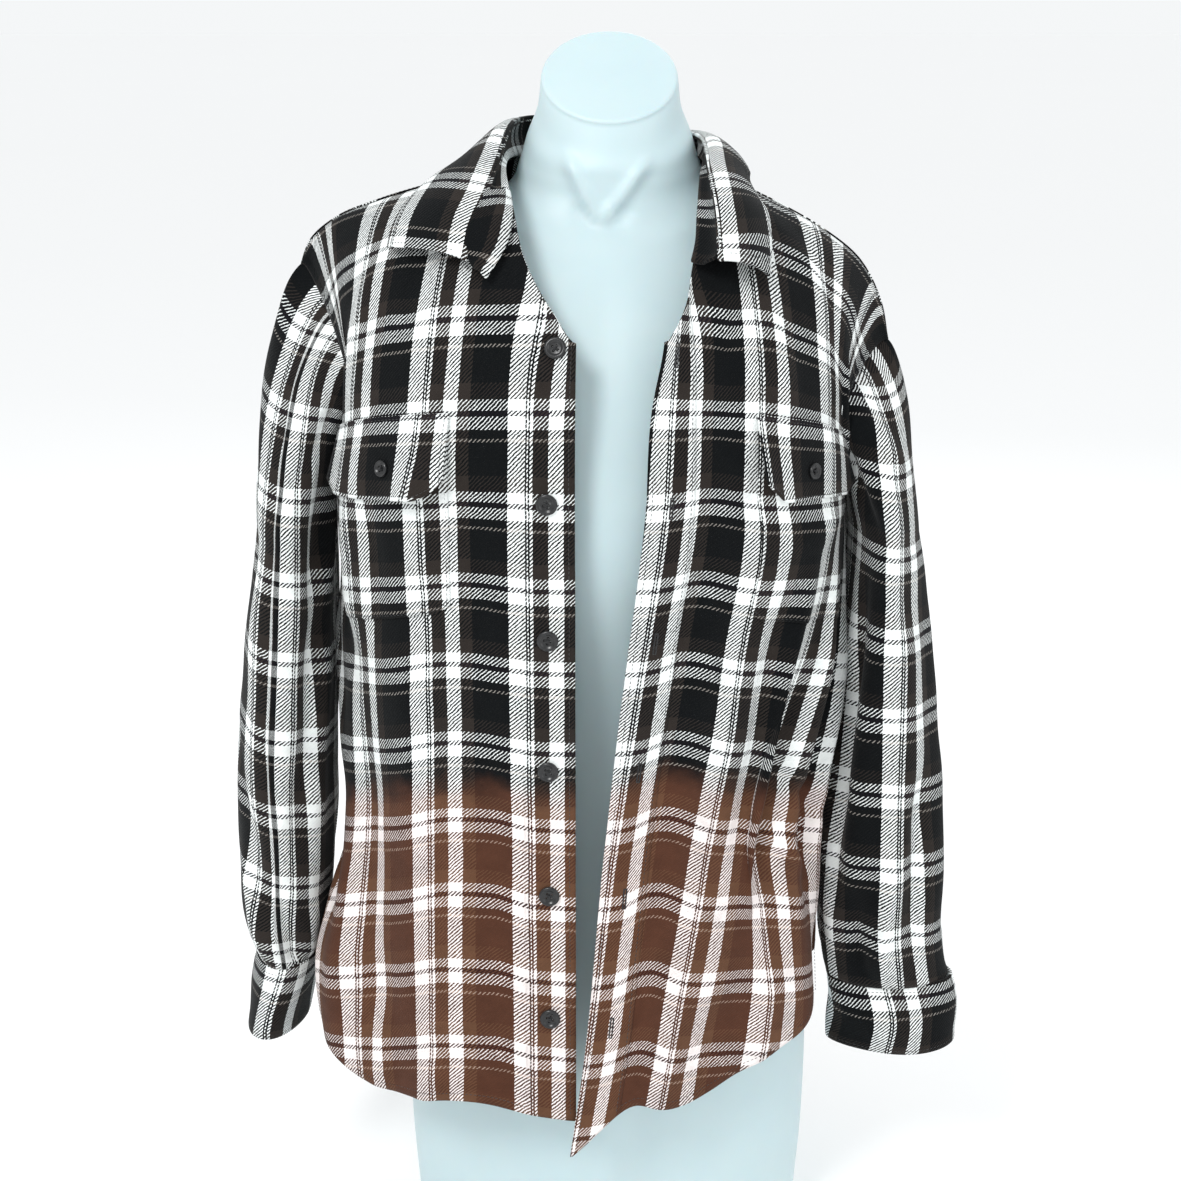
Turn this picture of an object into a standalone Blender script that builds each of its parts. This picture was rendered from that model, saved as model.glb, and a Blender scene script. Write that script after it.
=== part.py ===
"""A long-sleeved flannel shirt, worn open on a smooth torso display form.

Metres, +Z up. -Y is the front, +X is the wearer's left. The form stands on z = 0.

The shirt is sewn from flat pieces, and each piece is one solid wall of cloth. A place on the
body is given in cloth distances: `across`, from a front's edge round to the side seam, and
`down`, below the point where the shoulder meets the neck.
"""
import math

import bpy
import numpy as np
from mathutils import Vector

# ------------------------------------------------------------------ driving sizes
CLOTH = 0.0015            # brushed flannel with its nap, one layer
GAP = 0.0003              # clear space between two layers
SEAM = 0.0006             # pulls each edge back at a seam, so that bent walls stay clear
LAYER = CLOTH + GAP       # from one layer's middle to that of the next one out

FRONT_WIDTH = 0.290       # one front, from its edge to the side seam
BAND_WIDTH = 0.035        # button and buttonhole bands
NECK_ACROSS = 0.090       # front edge to the neck point
NECK_DOWN = 0.165         # how far the opened neckline falls at the front edge
NECK_ROUND = 1.35         # roundness of the front neckline's curve
BACK_NECK_DOWN = 0.022    # how far the neckline falls at the centre back
SHOULDER_SLOPE = 0.28     # cloth cut away for each metre out along the shoulder
CHEST_DOWN = 0.265        # cloth from the neck point to the underarm line
YOKE_DOWN = 0.100         # depth of the back yoke
HOLD_ACROSS = 0.215       # columns further out than this close up, to follow armhole and side
SIDE_LEAST = 0.030        # what those outer columns always keep

POCKET = {"inner": 0.085, "outer": 0.198, "bottom": 0.352}
FLAP_TOP = 0.208          # the flap ends level with the underarm
FLAP_BUTTON = 0.72        # share of the way down the flap

CUFF_OPENS = 0.82         # share of the way round where the cuff buttons: behind, outside
CUFF_LAP = math.radians(24)
CUFF_OVER = 1.6           # layers that the lapping end stands out over the other

BUTTON_RADIUS = 0.0073    # front buttons
SMALL_BUTTON_RADIUS = 0.0058
BUTTON_THICK = 0.0028
BUTTON_SIDES = 20
BUTTON_DISH = 0.62        # height of the sunk middle, as a share of the rim's
BUTTON_CLEAR = 0.0006     # under a flat button on cloth that bends a little
FIRST_BUTTON_DOWN = 0.168
BUTTON_PITCH = 0.0985
FRONT_BUTTONS = 6

RIGHT, LEFT = -1, 1       # the wearer's sides, as the sign of x


def table(columns, rows):
    """Names the columns of a short table."""
    return dict(zip(columns.split(), np.array(rows, dtype=float).T))


# Level lines of the body's cloth. z is its height at the front edge, sag how much lower it hangs
# at the side seams, back_sag at the centre back; right and left are the sides' x, front and back
# the depths, square the roundness of the plan (2 is an ellipse).
BODY = table("down z sag back_sag right left front back square", [
    (0.265, 0.620, 0.020, 0.000, -0.1960, 0.173, -0.135, 0.112, 2.5),
    (0.420, 0.470, 0.034, 0.004, -0.197, 0.171, -0.133, 0.112, 2.4),
    (0.530, 0.364, 0.046, 0.010, -0.200, 0.164, -0.131, 0.116, 2.4),
    (0.620, 0.277, 0.044, 0.012, -0.216, 0.165, -0.133, 0.122, 2.4),
    (0.690, 0.209, 0.040, 0.010, -0.217, 0.167, -0.136, 0.126, 2.4),
    (0.770, 0.132, 0.036, 0.008, -0.206, 0.164, -0.138, 0.128, 2.4),
])
MIDDLE_X = -0.011         # between the two sides

# Where each front's edge hangs.
EDGE = {
    RIGHT: table("down x", [(0.10, -0.022), (0.265, -0.022), (0.53, -0.022), (0.77, -0.022)]),
    LEFT: table("down x", [(0.10, 0.036), (0.265, 0.028), (0.42, 0.011), (0.53, 0.000),
                           (0.69, -0.014), (0.77, -0.024)]),
}
LAP_OUT = 0.008           # the left front's edge stands this far out where it laps over the right

# The shoulder seam, from the neck point to the top of the armhole.
SHOULDER = {
    RIGHT: table("x z", [(-0.068, 0.834), (-0.113, 0.819), (-0.160, 0.805), (-0.190, 0.793),
                         (-0.208, 0.778), (-0.216, 0.762)]),
    LEFT: table("x z", [(0.068, 0.834), (0.096, 0.816), (0.126, 0.801), (0.154, 0.785),
                        (0.180, 0.764), (0.196, 0.735), (0.203, 0.708)]),
}
CHEST_ROUND, BLADE_ROUND = 2.0, 2.3   # 2 rounds the body over as an ellipse does
BLADE_DEPTH = 0.40        # usual depth of the shoulder blades' curve, as a share of its height
NAPE_BACK = 0.055         # the cloth passes this far behind the shoulder line at the nape
NECK_LEAN = {RIGHT: 0.60, LEFT: 0.0}  # how far the opened neck's cloth leans in, going up
ARMHOLE_HOLLOW = {RIGHT: 0.020, LEFT: 0.014}   # the armhole's seam curves in towards the neck,
ARMHOLE_FRONT, ARMHOLE_BACK = 0.052, 0.060     # and bows out to the front and the back

# The width left between the front edge and the armhole, from the underarm (0) to the shoulder (1).
ARMHOLE = table("rise across", [(0.0, 0.290), (0.15, 0.262), (0.45, 0.238), (0.75, 0.245),
                                (1.0, 0.258)])

# Length of the fronts and the back: shorter at the side seams, as a shirt tail is.
HEM = {
    RIGHT: table("share down", [(0.0, 0.743), (0.35, 0.738), (0.62, 0.717), (0.82, 0.668),
                                (1.0, 0.612)]),
    LEFT: table("share down", [(0.0, 0.768), (0.10, 0.744), (0.35, 0.726), (0.55, 0.690),
                               (0.75, 0.650), (1.0, 0.612)]),
}
BACK_HEM = table("share down", [(0.0, 0.612), (0.2, 0.669), (0.6, 0.754), (1.0, 0.772)])

# Largest folds: share is where the fold's crest runs, from the front edge (0) past the side
# seam (1) to the centre back (2); wide and out are its half width and how far it stands out
# (a trough is negative) at the hem, starts is how far down it begins to show.
FOLDS = {
    RIGHT: table("share wide out starts", [
        (0.10, 0.07, -0.004, 0.45), (0.30, 0.09, 0.007, 0.40), (0.52, 0.08, -0.008, 0.36),
        (0.74, 0.09, 0.008, 0.42), (1.22, 0.09, -0.009, 0.44), (1.42, 0.10, 0.012, 0.34),
        (1.64, 0.10, -0.012, 0.30), (1.86, 0.10, 0.013, 0.38)]),
    LEFT: table("share wide out starts", [
        (0.16, 0.08, 0.006, 0.44), (0.40, 0.09, -0.008, 0.38), (0.62, 0.08, 0.007, 0.40),
        (0.82, 0.07, -0.014, 0.36), (1.18, 0.09, -0.008, 0.40), (1.38, 0.10, 0.012, 0.36),
        (1.60, 0.10, -0.011, 0.42), (1.82, 0.09, 0.009, 0.33)]),
}

# The sleeve's cap starts this far out from the body's own edge, more underneath, and further
# round to the front and back; the pulls are how strongly it keeps its way at its two ends.
CAP_OUT, CAP_UNDER, CAP_FRONT = 0.0014, 0.0046, 0.0046
LEAVE_PULL, ARRIVE_PULL = 0.7, 1.2

# Sleeves, from where they hang free to the cuff's seam. outer and inner are the x of the two
# sides, deep is half the depth, y the middle.
SLEEVE = {
    RIGHT: table("z outer inner y deep", [
        (0.575, -0.254, -0.2035, 0.003, 0.082), (0.490, -0.266, -0.2030, 0.001, 0.074),
        (0.400, -0.277, -0.2040, 0.000, 0.068), (0.315, -0.279, -0.2090, 0.004, 0.063),
        (0.270, -0.280, -0.2150, 0.006, 0.058), (0.231, -0.270, -0.2230, 0.010, 0.052)]),
    LEFT: table("z outer inner y deep", [
        (0.575, 0.2265, 0.1800, 0.000, 0.082), (0.490, 0.238, 0.1770, -0.002, 0.074),
        (0.400, 0.248, 0.1720, -0.006, 0.064), (0.315, 0.259, 0.1670, -0.010, 0.052),
        (0.260, 0.262, 0.1680, -0.012, 0.042), (0.216, 0.267, 0.1740, -0.014, 0.030)]),
}
CUFF = {
    RIGHT: table("z outer inner y deep", [(0.2302, -0.269, -0.224, 0.010, 0.051),
                                          (0.1740, -0.279, -0.237, 0.006, 0.052)]),
    LEFT: table("z outer inner y deep", [(0.2152, 0.268, 0.176, -0.014, 0.027),
                                         (0.1620, 0.274, 0.178, -0.018, 0.025)]),
}

# Collar, from the centre back (0) to the front end of the stand (1). stand_* go from the
# neckline to the roll, leaf_* from the roll to the collar's outer edge; out is away from the
# neck, ahead is towards the front.
COLLAR = {
    RIGHT: table("share stand_out stand_ahead stand_up leaf_out leaf_ahead leaf_up", [
        (0.00, 0.000, 0.001, 0.031, 0.000, -0.020, -0.030),
        (0.25, 0.000, 0.001, 0.031, 0.014, -0.018, -0.031),
        (0.50, 0.004, 0.002, 0.028, 0.040, -0.004, -0.030),
        (0.78, 0.020, 0.002, 0.021, 0.050, 0.008, -0.014),
        (1.00, 0.026, 0.000, 0.014, 0.062, 0.000, -0.002)]),
    LEFT: table("share stand_out stand_ahead stand_up leaf_out leaf_ahead leaf_up", [
        (0.00, 0.000, 0.001, 0.031, 0.000, -0.020, -0.030),
        (0.25, 0.000, 0.001, 0.031, 0.014, -0.018, -0.031),
        (0.50, 0.002, 0.002, 0.029, 0.032, -0.004, -0.037),
        (0.78, 0.012, 0.004, 0.023, 0.036, 0.008, -0.030),
        (1.00, 0.020, 0.006, 0.016, 0.030, 0.014, -0.012)]),
}
LEAF_ABOVE = 0.0019       # the leaf is sewn on just over the stand's upper edge
LEAF_CROWN = 0.006        # how far the leaf rounds up on its way to its outer edge
COLLAR_END = 0.037        # the stand stops this far, across, from the front edge

# The display form, from its flat base to the sloping cut of its neck.
FORM = table("z y half_width front back tilt", [
    (0.000, 0.005, 0.150, 0.086, 0.094, 0), (0.100, 0.004, 0.156, 0.093, 0.098, 0),
    (0.180, 0.003, 0.155, 0.094, 0.096, 0), (0.280, 0.001, 0.138, 0.086, 0.084, 0),
    (0.370, 0.000, 0.126, 0.082, 0.077, 0), (0.480, 0.000, 0.134, 0.094, 0.082, 0),
    (0.590, -0.003, 0.146, 0.113, 0.087, 0), (0.670, -0.002, 0.155, 0.102, 0.089, 0),
    (0.725, 0.001, 0.164, 0.083, 0.085, 0), (0.757, 0.004, 0.163, 0.066, 0.075, 0),
    (0.780, 0.007, 0.140, 0.055, 0.063, 3), (0.798, 0.009, 0.108, 0.048, 0.054, 6),
    (0.815, 0.010, 0.0702, 0.046, 0.046, 10), (0.835, 0.011, 0.056, 0.048, 0.046, 18),
    (0.862, 0.011, 0.0530, 0.0520, 0.0500, 29), (0.889, 0.010, 0.0515, 0.0515, 0.0515, 37),
])
FORM_X = 0.002
FORM_SIDES, FORM_STEPS = 28, 25


# ------------------------------------------------------------------ reading the tables
def ease(start, end, at):
    """Runs from 0 to 1 between two values, level at both."""
    share = np.clip((np.asarray(at, dtype=float) - start) / (end - start), 0.0, 1.0)
    return share * share * (3.0 - 2.0 * share)


def curve(stops, values, at):
    """Reads a column between its rows, on a curve with no kinks."""
    at = np.clip(np.asarray(at, dtype=float), stops[0], stops[-1])
    slopes = np.gradient(values, stops)
    row = np.clip(np.searchsorted(stops, at, side="right") - 1, 0, len(stops) - 2)
    span = stops[row + 1] - stops[row]
    t = (at - stops[row]) / span
    return ((1 + 2 * t) * (1 - t) ** 2 * values[row] + t * (1 - t) ** 2 * span * slopes[row]
            + t * t * (3 - 2 * t) * values[row + 1] + t * t * (t - 1) * span * slopes[row + 1])


def power(value, exponent):
    """A power that keeps the sign, for superellipses."""
    return np.sign(value) * np.abs(value) ** exponent


def at_length(points, share):
    """The place at a share of a polyline's length. points: (..., steps, 3); share: (...)."""
    lengths = np.linalg.norm(np.diff(points, axis=-2), axis=-1)
    run = np.concatenate([np.zeros(lengths.shape[:-1] + (1,)), np.cumsum(lengths, -1)], -1)
    want = share * run[..., -1]
    step = np.clip((run <= want[..., None]).sum(-1) - 1, 0, run.shape[-1] - 2)
    before = np.take_along_axis(run, step[..., None], -1)[..., 0]
    after = np.take_along_axis(run, step[..., None] + 1, -1)[..., 0]
    part = ((want - before) / np.maximum(after - before, 1e-9))[..., None]
    index = step[..., None, None].repeat(3, -1)
    a = np.take_along_axis(points, index, -2)[..., 0, :]
    b = np.take_along_axis(points, index + 1, -2)[..., 0, :]
    return a + (b - a) * part


# ------------------------------------------------------------------ the body's surface
ARC_STEPS = np.linspace(0.0, 1.0, 41)


def plan(side, down, angle):
    """A place on a level line; angle runs from the centre front (0) to the centre back (pi)."""
    column = {name: curve(BODY["down"], BODY[name], down) for name in BODY}
    reach = np.abs(column["right" if side == RIGHT else "left"] - MIDDLE_X)
    exponent = 2.0 / column["square"]
    sine, cosine = np.sin(angle), np.cos(angle)
    x = MIDDLE_X + side * reach * power(sine, exponent)
    depth = np.where(cosine > 0, -column["front"], column["back"])
    y = -depth * power(cosine, exponent)
    front_share = np.clip(angle / (math.pi / 2), 0.0, 1.0)
    back_share = np.clip(angle / (math.pi / 2) - 1.0, 0.0, 1.0)
    sag = column["sag"] * front_share ** 1.6
    sag = sag + (column["back_sag"] - column["sag"]) * ease(0, 1, back_share)
    return np.stack([x, y, column["z"] - sag], -1)


def edge_angle(side, down):
    """Where a front's edge lies on its level line."""
    x = curve(EDGE[side]["down"], EDGE[side]["x"], down)
    column = {name: curve(BODY["down"], BODY[name], down) for name in BODY}
    reach = np.abs(column["right" if side == RIGHT else "left"] - MIDDLE_X)
    return np.arcsin(power((x - MIDDLE_X) * side / reach, column["square"] / 2.0))


def level(side, share, down):
    """share: 0 at the front edge, 1 at the side seam, 2 at the centre back."""
    share, down = np.broadcast_arrays(share, down)
    start = np.where(share <= 1, edge_angle(side, down), math.pi / 2)
    end = np.where(share <= 1, math.pi / 2, math.pi)
    angles = start[..., None] + (end - start)[..., None] * ARC_STEPS
    line = plan(side, down[..., None], angles)
    length = np.linalg.norm(np.diff(line, axis=-2), axis=-1).sum(-1)
    across = share * FRONT_WIDTH
    hold = np.minimum(HOLD_ACROSS, length - SIDE_LEAST)
    outer = hold + (across - HOLD_ACROSS) / (FRONT_WIDTH - HOLD_ACROSS) * (length - hold)
    front = np.where(across < HOLD_ACROSS, across * hold / HOLD_ACROSS, outer) / length
    return at_length(line, np.where(share <= 1, front, share - 1))


def fold_out(side, share, down):
    """How far the folds push the cloth out."""
    out = np.zeros(np.broadcast(share, down).shape)
    for crest, wide, height, starts in zip(*FOLDS[side].values()):
        out = out + (height * np.exp(-((share - crest) / wide) ** 2)
                     * ease(starts, 0.76, down))
    if side == LEFT:
        out = out + LAP_OUT * (1 - ease(0.05, 0.35, share)) * ease(0.50, 0.70, down)
    return out


def across_at(share, rise):
    """Cloth distance from the front edge, narrowed towards the armhole."""
    across = share * FRONT_WIDTH
    limit = curve(ARMHOLE["rise"], ARMHOLE["across"], rise)
    outer = (HOLD_ACROSS + (across - HOLD_ACROSS) * (limit - HOLD_ACROSS)
             / (FRONT_WIDTH - HOLD_ACROSS))
    return np.where(across > HOLD_ACROSS, outer, across)


def shoulder(side, out, back):
    """A place on the shoulder seam, out from the neck point; negative is over the neck."""
    x, z = SHOULDER[side]["x"], SHOULDER[side]["z"]
    run = np.concatenate([[0.0], np.cumsum(np.hypot(np.diff(x), np.diff(z)))])
    beyond = np.minimum(out, 0.0)
    share = np.clip(out, 0.0, None) / (across_at(1.0, 1.0) - NECK_ACROSS)
    lean = abs(x[0] - MIDDLE_X) / NECK_ACROSS if back else NECK_LEAN[side]
    inward = np.clip(1 + beyond / NECK_ACROSS, 0, 1)
    behind = NAPE_BACK * np.sqrt(1 - inward ** 2) if back else 0.0 * beyond
    return np.stack([curve(run, x, share * run[-1]) + side * lean * beyond, behind,
                     curve(run, z, share * run[-1])], -1)


def shoulder_down(across):
    """Cloth depth of the shoulder seam."""
    return SHOULDER_SLOPE * np.maximum(across - NECK_ACROSS, 0.0)


def dome(side, share, rise, back):
    """The cloth over chest or shoulder blade: rise is 0 at the underarm line, 1 at the shoulder."""
    share, rise = np.broadcast_arrays(share, rise)
    low = level(side, 2 - share if back else share, np.full(share.shape, CHEST_DOWN))
    top = shoulder(side, across_at(share, 1.0) - NECK_ACROSS, back)
    angle = (math.pi / 2) * ARC_STEPS
    exponent = 2.0 / (BLADE_ROUND if back else CHEST_ROUND)
    flat = power(np.cos(angle), exponent)[:, None]
    high = power(np.sin(angle), exponent)[:, None]
    line = top[..., None, :] + (low - top)[..., None, :] * flat
    line[..., 2] = low[..., None, 2] + (top - low)[..., None, 2] * high[:, 0]
    if back:
        usual = np.cumsum(np.hypot(np.diff(flat[:, 0]) * BLADE_DEPTH, np.diff(high[:, 0])))
        step = np.interp(rise, np.append(0, usual) / usual[-1], angle)[..., None]
        place = low + (top - low) * (1 - power(np.cos(step), exponent))
        place[..., 2] = low[..., 2] + (top - low)[..., 2] * power(np.sin(step), exponent)[..., 0]
    else:
        place = at_length(line, rise)
    place[..., 1] += (0.9 if back else -0.9) * SEAM * ease(0.5, 1.0, rise)
    bow = ease(0.45, 1.0, share) * np.sin(math.pi * rise) ** 1.6
    place[..., 0] -= side * ARMHOLE_HOLLOW[side] * bow
    place[..., 1] += (ARMHOLE_BACK if back else -ARMHOLE_FRONT) * bow
    return place


def body(side, share, down, back=False):
    """The body's middle surface. For the back, share is 0 at its centre and 1 at the side seam."""
    share, down = np.broadcast_arrays(np.asarray(share, float), np.asarray(down, float))
    ring_share = 2 - share if back else share
    low = level(side, ring_share, np.maximum(down, CHEST_DOWN))
    outward = np.stack([(low[..., 0] - MIDDLE_X) / 0.19 ** 2, low[..., 1] / 0.13 ** 2,
                        np.zeros(share.shape)], -1)
    outward /= np.linalg.norm(outward, axis=-1, keepdims=True)
    low = low + outward * fold_out(side, ring_share, down)[..., None]
    top_down = shoulder_down(across_at(share, 1.0))
    rise = np.clip((CHEST_DOWN - down) / (CHEST_DOWN - top_down), 0.0, 1.0)
    return np.where((down < CHEST_DOWN)[..., None], dome(side, share, rise, back), low)


def neckline_down(across):
    """Cloth depth of the front neckline."""
    share = np.clip(across / NECK_ACROSS, 0.0, 1.0)
    return NECK_DOWN * (1 - share ** NECK_ROUND) ** (1 / NECK_ROUND)


def front_top(share):
    """Cloth depth of a front's upper edge: the neckline, then the shoulder seam."""
    across = across_at(share, 1.0)
    return np.where(across < NECK_ACROSS, neckline_down(share * FRONT_WIDTH),
                    shoulder_down(across))


def back_top(share):
    """Cloth depth of the yoke's upper edge."""
    across = across_at(share, 1.0)
    neck = BACK_NECK_DOWN * np.sqrt(np.clip(1 - (across / NECK_ACROSS) ** 2, 0.0, 1.0))
    return np.where(across < NECK_ACROSS, neck, shoulder_down(across))


# ------------------------------------------------------------------ making cloth
def new_object(name, mesh, colour, roughness=0.9, metallic=0.0):
    """Adds a mesh to the shirt's collection with a material of its own."""
    thing = bpy.data.objects.new(name, mesh)
    SHIRT.objects.link(thing)
    material = bpy.data.materials.new(name)
    material.use_nodes = True
    shader = material.node_tree.nodes["Principled BSDF"]
    shader.inputs["Base Color"].default_value = (*colour, 1.0)
    shader.inputs["Roughness"].default_value = roughness
    shader.inputs["Metallic"].default_value = metallic
    mesh.materials.append(material)
    return thing


def normals(points, closed):
    """Outward normals of a grid of points (rows, columns, 3)."""
    if closed:
        along = np.roll(points, -1, axis=1) - np.roll(points, 1, axis=1)
    else:
        along = np.gradient(points, axis=1)
    result = np.cross(np.gradient(points, axis=0), along)
    return result / np.maximum(np.linalg.norm(result, axis=-1, keepdims=True), 1e-12)


def cloth(name, points, colour, closed=False):
    """A wall of cloth with the grid of points as its middle surface."""
    rows, columns = points.shape[:2]
    last = columns if closed else columns - 1
    faces = [(r * columns + c, (r + 1) * columns + c,
              (r + 1) * columns + (c + 1) % columns, r * columns + (c + 1) % columns)
             for r in range(rows - 1) for c in range(last)]
    mesh = bpy.data.meshes.new(name)
    mesh.from_pydata([tuple(point) for point in points.reshape(-1, 3)], [], faces)
    mesh.shade_smooth()
    thing = new_object(name, mesh, colour)
    wall = thing.modifiers.new("wall", "SOLIDIFY")
    wall.thickness = CLOTH
    wall.offset = 0.0
    return thing


def moved_out(points, layers, closed=False):
    """A panel's points moved out by a number of layers."""
    return points + normals(points, closed) * LAYER * layers


def columns_of(*spans):
    """Column places from (start, end, cells) spans that follow on."""
    places = [np.linspace(start, end, cells + 1)[:-1] for start, end, cells in spans]
    return np.concatenate(places + [[spans[-1][1]]])


BLACK = (0.012, 0.012, 0.014)
CHARCOAL = (0.040, 0.035, 0.034)
RUST = (0.140, 0.055, 0.030)
FORM_WHITE = (0.74, 0.80, 0.82)
BUTTON_BLACK = (0.010, 0.010, 0.011)

SEAM_SHARE = SEAM / FRONT_WIDTH
HAIR = 1e-6
ROWS_TOP = 5              # rows of cells from neck or shoulder to the flap's seam
ROWS_FLAP, ROWS_POCKET, ROWS_BODY, ROWS_HEM = 2, 3, 7, 5
TAIL_DOWN = 0.56          # below this the rows follow the curved hem
YOKE_ROWS, BLADE_ROWS, BACK_ROWS = 3, 6, 15
BACK_CELLS = 9            # each half of the back, across


def front_grid(side):
    """Rows and columns of a front, with lines at the edges of its band, pocket and flap."""
    across = columns_of((0.0, BAND_WIDTH, 1), (BAND_WIDTH, POCKET["inner"], 2),
                        (POCKET["inner"], POCKET["outer"], 5), (POCKET["outer"], FRONT_WIDTH, 4))
    share = across / FRONT_WIDTH
    share[-1] -= SEAM_SHARE / 2
    middle = columns_of((FLAP_TOP, CHEST_DOWN, ROWS_FLAP),
                        (CHEST_DOWN, POCKET["bottom"], ROWS_POCKET),
                        (POCKET["bottom"], TAIL_DOWN, ROWS_BODY))
    hem = curve(HEM[side]["share"], HEM[side]["down"], share)
    top = front_top(share)
    upper = top + (middle[0] - top) * np.linspace(0, 1, ROWS_TOP + 1)[:-1, None]
    lower = middle[-1] + (hem - middle[-1]) * np.linspace(0, 1, ROWS_HEM + 1)[1:, None]
    down = np.concatenate([upper, np.repeat(middle[:, None], len(share), 1), lower])
    points = body(side, share[None, :], down)
    return points if side == LEFT else points[:, ::-1], across, down


def block(points, across, down, side, left, right, top=0.0, bottom=1.0):
    """The panel's own points between four edges, given as cloth distances."""
    columns = np.where((across > left - HAIR) & (across < right + HAIR))[0]
    middle = down[:, columns[len(columns) // 2]]
    rows = np.where((middle > top - HAIR) & (middle < bottom + HAIR))[0]
    if side == RIGHT:
        columns = points.shape[1] - 1 - columns[::-1]
    return points[rows[0]:rows[-1] + 1, columns[0]:columns[-1] + 1]


def make_front(side):
    """A front with its band, pocket and flap."""
    word = "right" if side == RIGHT else "left"
    points, across, down = front_grid(side)
    cloth(f"front_{word}", points, CHARCOAL)
    lifted = moved_out(points, 1)
    cloth(f"placket_{word}", block(lifted, across, down, side, 0.0, BAND_WIDTH), BLACK)
    pocket_points = block(lifted, across, down, side, POCKET["inner"], POCKET["outer"],
                          FLAP_TOP, POCKET["bottom"])
    cloth(f"pocket_{word}", pocket_points, BLACK)
    flap_points = block(moved_out(points, 2), across, down, side, POCKET["inner"],
                        POCKET["outer"], FLAP_TOP, CHEST_DOWN)
    cloth(f"flap_{word}", flap_points, BLACK)
    rows, columns = flap_points.shape[:2]
    button_on(f"flap_button_{word}", flap_points, (columns - 1) / 2, (rows - 1) * FLAP_BUTTON,
              SMALL_BUTTON_RADIUS)
    if side == RIGHT:
        make_front_buttons(lifted, across, down)


def back_shares(cells):
    """Across the back from the right side seam to the left: share of each half, and its side."""
    half = np.linspace(0, 1, cells + 1)
    share = np.concatenate([half[::-1], half[1:]])
    sides = np.concatenate([np.full(cells + 1, RIGHT), np.full(cells, LEFT)])
    share[[0, -1]] -= SEAM_SHARE / 2
    return share, sides


def back_points(share, sides, down):
    """down: (rows, columns). Columns run from the wearer's left to the right, seen from behind."""
    right = body(RIGHT, share[None, :], down, back=True)
    left = body(LEFT, share[None, :], down, back=True)
    points = np.where((sides == RIGHT)[None, :, None], right, left)
    return points[:, ::-1]


def make_back():
    """The back and, above its seam over the shoulder blades, the yoke."""
    share, sides = back_shares(BACK_CELLS)
    hem = curve(BACK_HEM["share"], BACK_HEM["down"], 1 - share)
    upper = np.linspace(YOKE_DOWN + SEAM / 2, CHEST_DOWN, BLADE_ROWS + 1)[:-1, None]
    lower = CHEST_DOWN + (hem - CHEST_DOWN) * np.linspace(0, 1, BACK_ROWS + 1)[:, None]
    down = np.concatenate([np.repeat(upper, len(share), 1), lower])
    cloth("back", back_points(share, sides, down), CHARCOAL)
    top = back_top(share)
    end = YOKE_DOWN - SEAM / 2
    down = top + (end - top) * np.linspace(0, 1, YOKE_ROWS + 1)[:, None]
    cloth("yoke", back_points(share, sides, down), CHARCOAL)


# ------------------------------------------------------------------ sleeves and cuffs
CAP_ROWS, ARM_ROWS = 6, 11
PLACKET_ROWS = 4
PLACKET_COLUMN = 11       # the column of cells behind the arm that the placket lies on


def armhole_turns():
    """Where the rows of front, back and yoke meet the armhole, from the shoulder round the front."""
    top = float(shoulder_down(across_at(1.0, 1.0)))
    front = np.concatenate([np.linspace(top, FLAP_TOP, ROWS_TOP + 1),
                            np.linspace(FLAP_TOP, CHEST_DOWN, ROWS_FLAP + 1)[1:]])
    back = np.concatenate([np.linspace(CHEST_DOWN, YOKE_DOWN, BLADE_ROWS + 1)[1:],
                           np.linspace(YOKE_DOWN, top, YOKE_ROWS + 1)[1:-1]])
    height = CHEST_DOWN - top
    return np.concatenate([(front - top) / height, 1 + (CHEST_DOWN - back) / height]) / 2


def armhole(side, turn):
    """The armhole's seam: turn is 0 at the shoulder, a quarter at the front, half underneath."""
    rise = np.abs(1 - 2 * turn)
    front = dome(side, np.ones(turn.shape), rise, False)
    back = dome(side, np.ones(turn.shape), rise, True)
    return np.where((turn <= 0.5)[:, None], front, back)


def tube(side, row, turn):
    """A level ring of a sleeve or cuff, outer side first and round by the front."""
    angle = 2 * math.pi * turn
    middle, reach = (row["outer"] + row["inner"]) / 2, (row["outer"] - row["inner"]) / 2
    return np.stack([middle + reach * np.cos(angle), row["y"] - row["deep"] * np.sin(angle),
                     np.full(turn.shape, row["z"])], -1)


def read_row(rows, z):
    """A ring's sizes at height z, from a table whose z falls."""
    return {name: curve(rows["z"][::-1], rows[name][::-1], z) for name in rows}


def sleeve_points(side, turns, cap_rows, arm_rows):
    """Rings from the armhole, over the sleeve's cap, down to the cuff's seam."""
    under = (1 - np.cos(2 * math.pi * turns)) / 2
    start = armhole(side, turns) + np.stack(
        [side * (CAP_OUT + CAP_UNDER * under), -CAP_FRONT * np.sin(2 * math.pi * turns),
         np.full(turns.shape, -SEAM)], -1)
    first = tube(side, read_row(SLEEVE[side], SLEEVE[side]["z"][0]), turns)
    reach = np.linalg.norm(first - start, axis=-1)[:, None]
    leave = np.stack([side * (0.75 + 0.15 * under), 0 * turns, -0.66 + 0.30 * under], -1)
    arrive = np.array([0.0, 0.0, -1.0])
    rows = []
    for t in np.linspace(0, 1, cap_rows + 1)[:-1]:
        rows.append(start * (1 + 2 * t) * (1 - t) ** 2 + first * t * t * (3 - 2 * t)
                    + leave * reach * LEAVE_PULL * t * (1 - t) ** 2
                    + arrive * reach * ARRIVE_PULL * t * t * (t - 1))
    for z in np.linspace(SLEEVE[side]["z"][0], SLEEVE[side]["z"][-1], arm_rows + 1):
        rows.append(tube(side, read_row(SLEEVE[side], z), turns))
    return np.array(rows)


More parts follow.
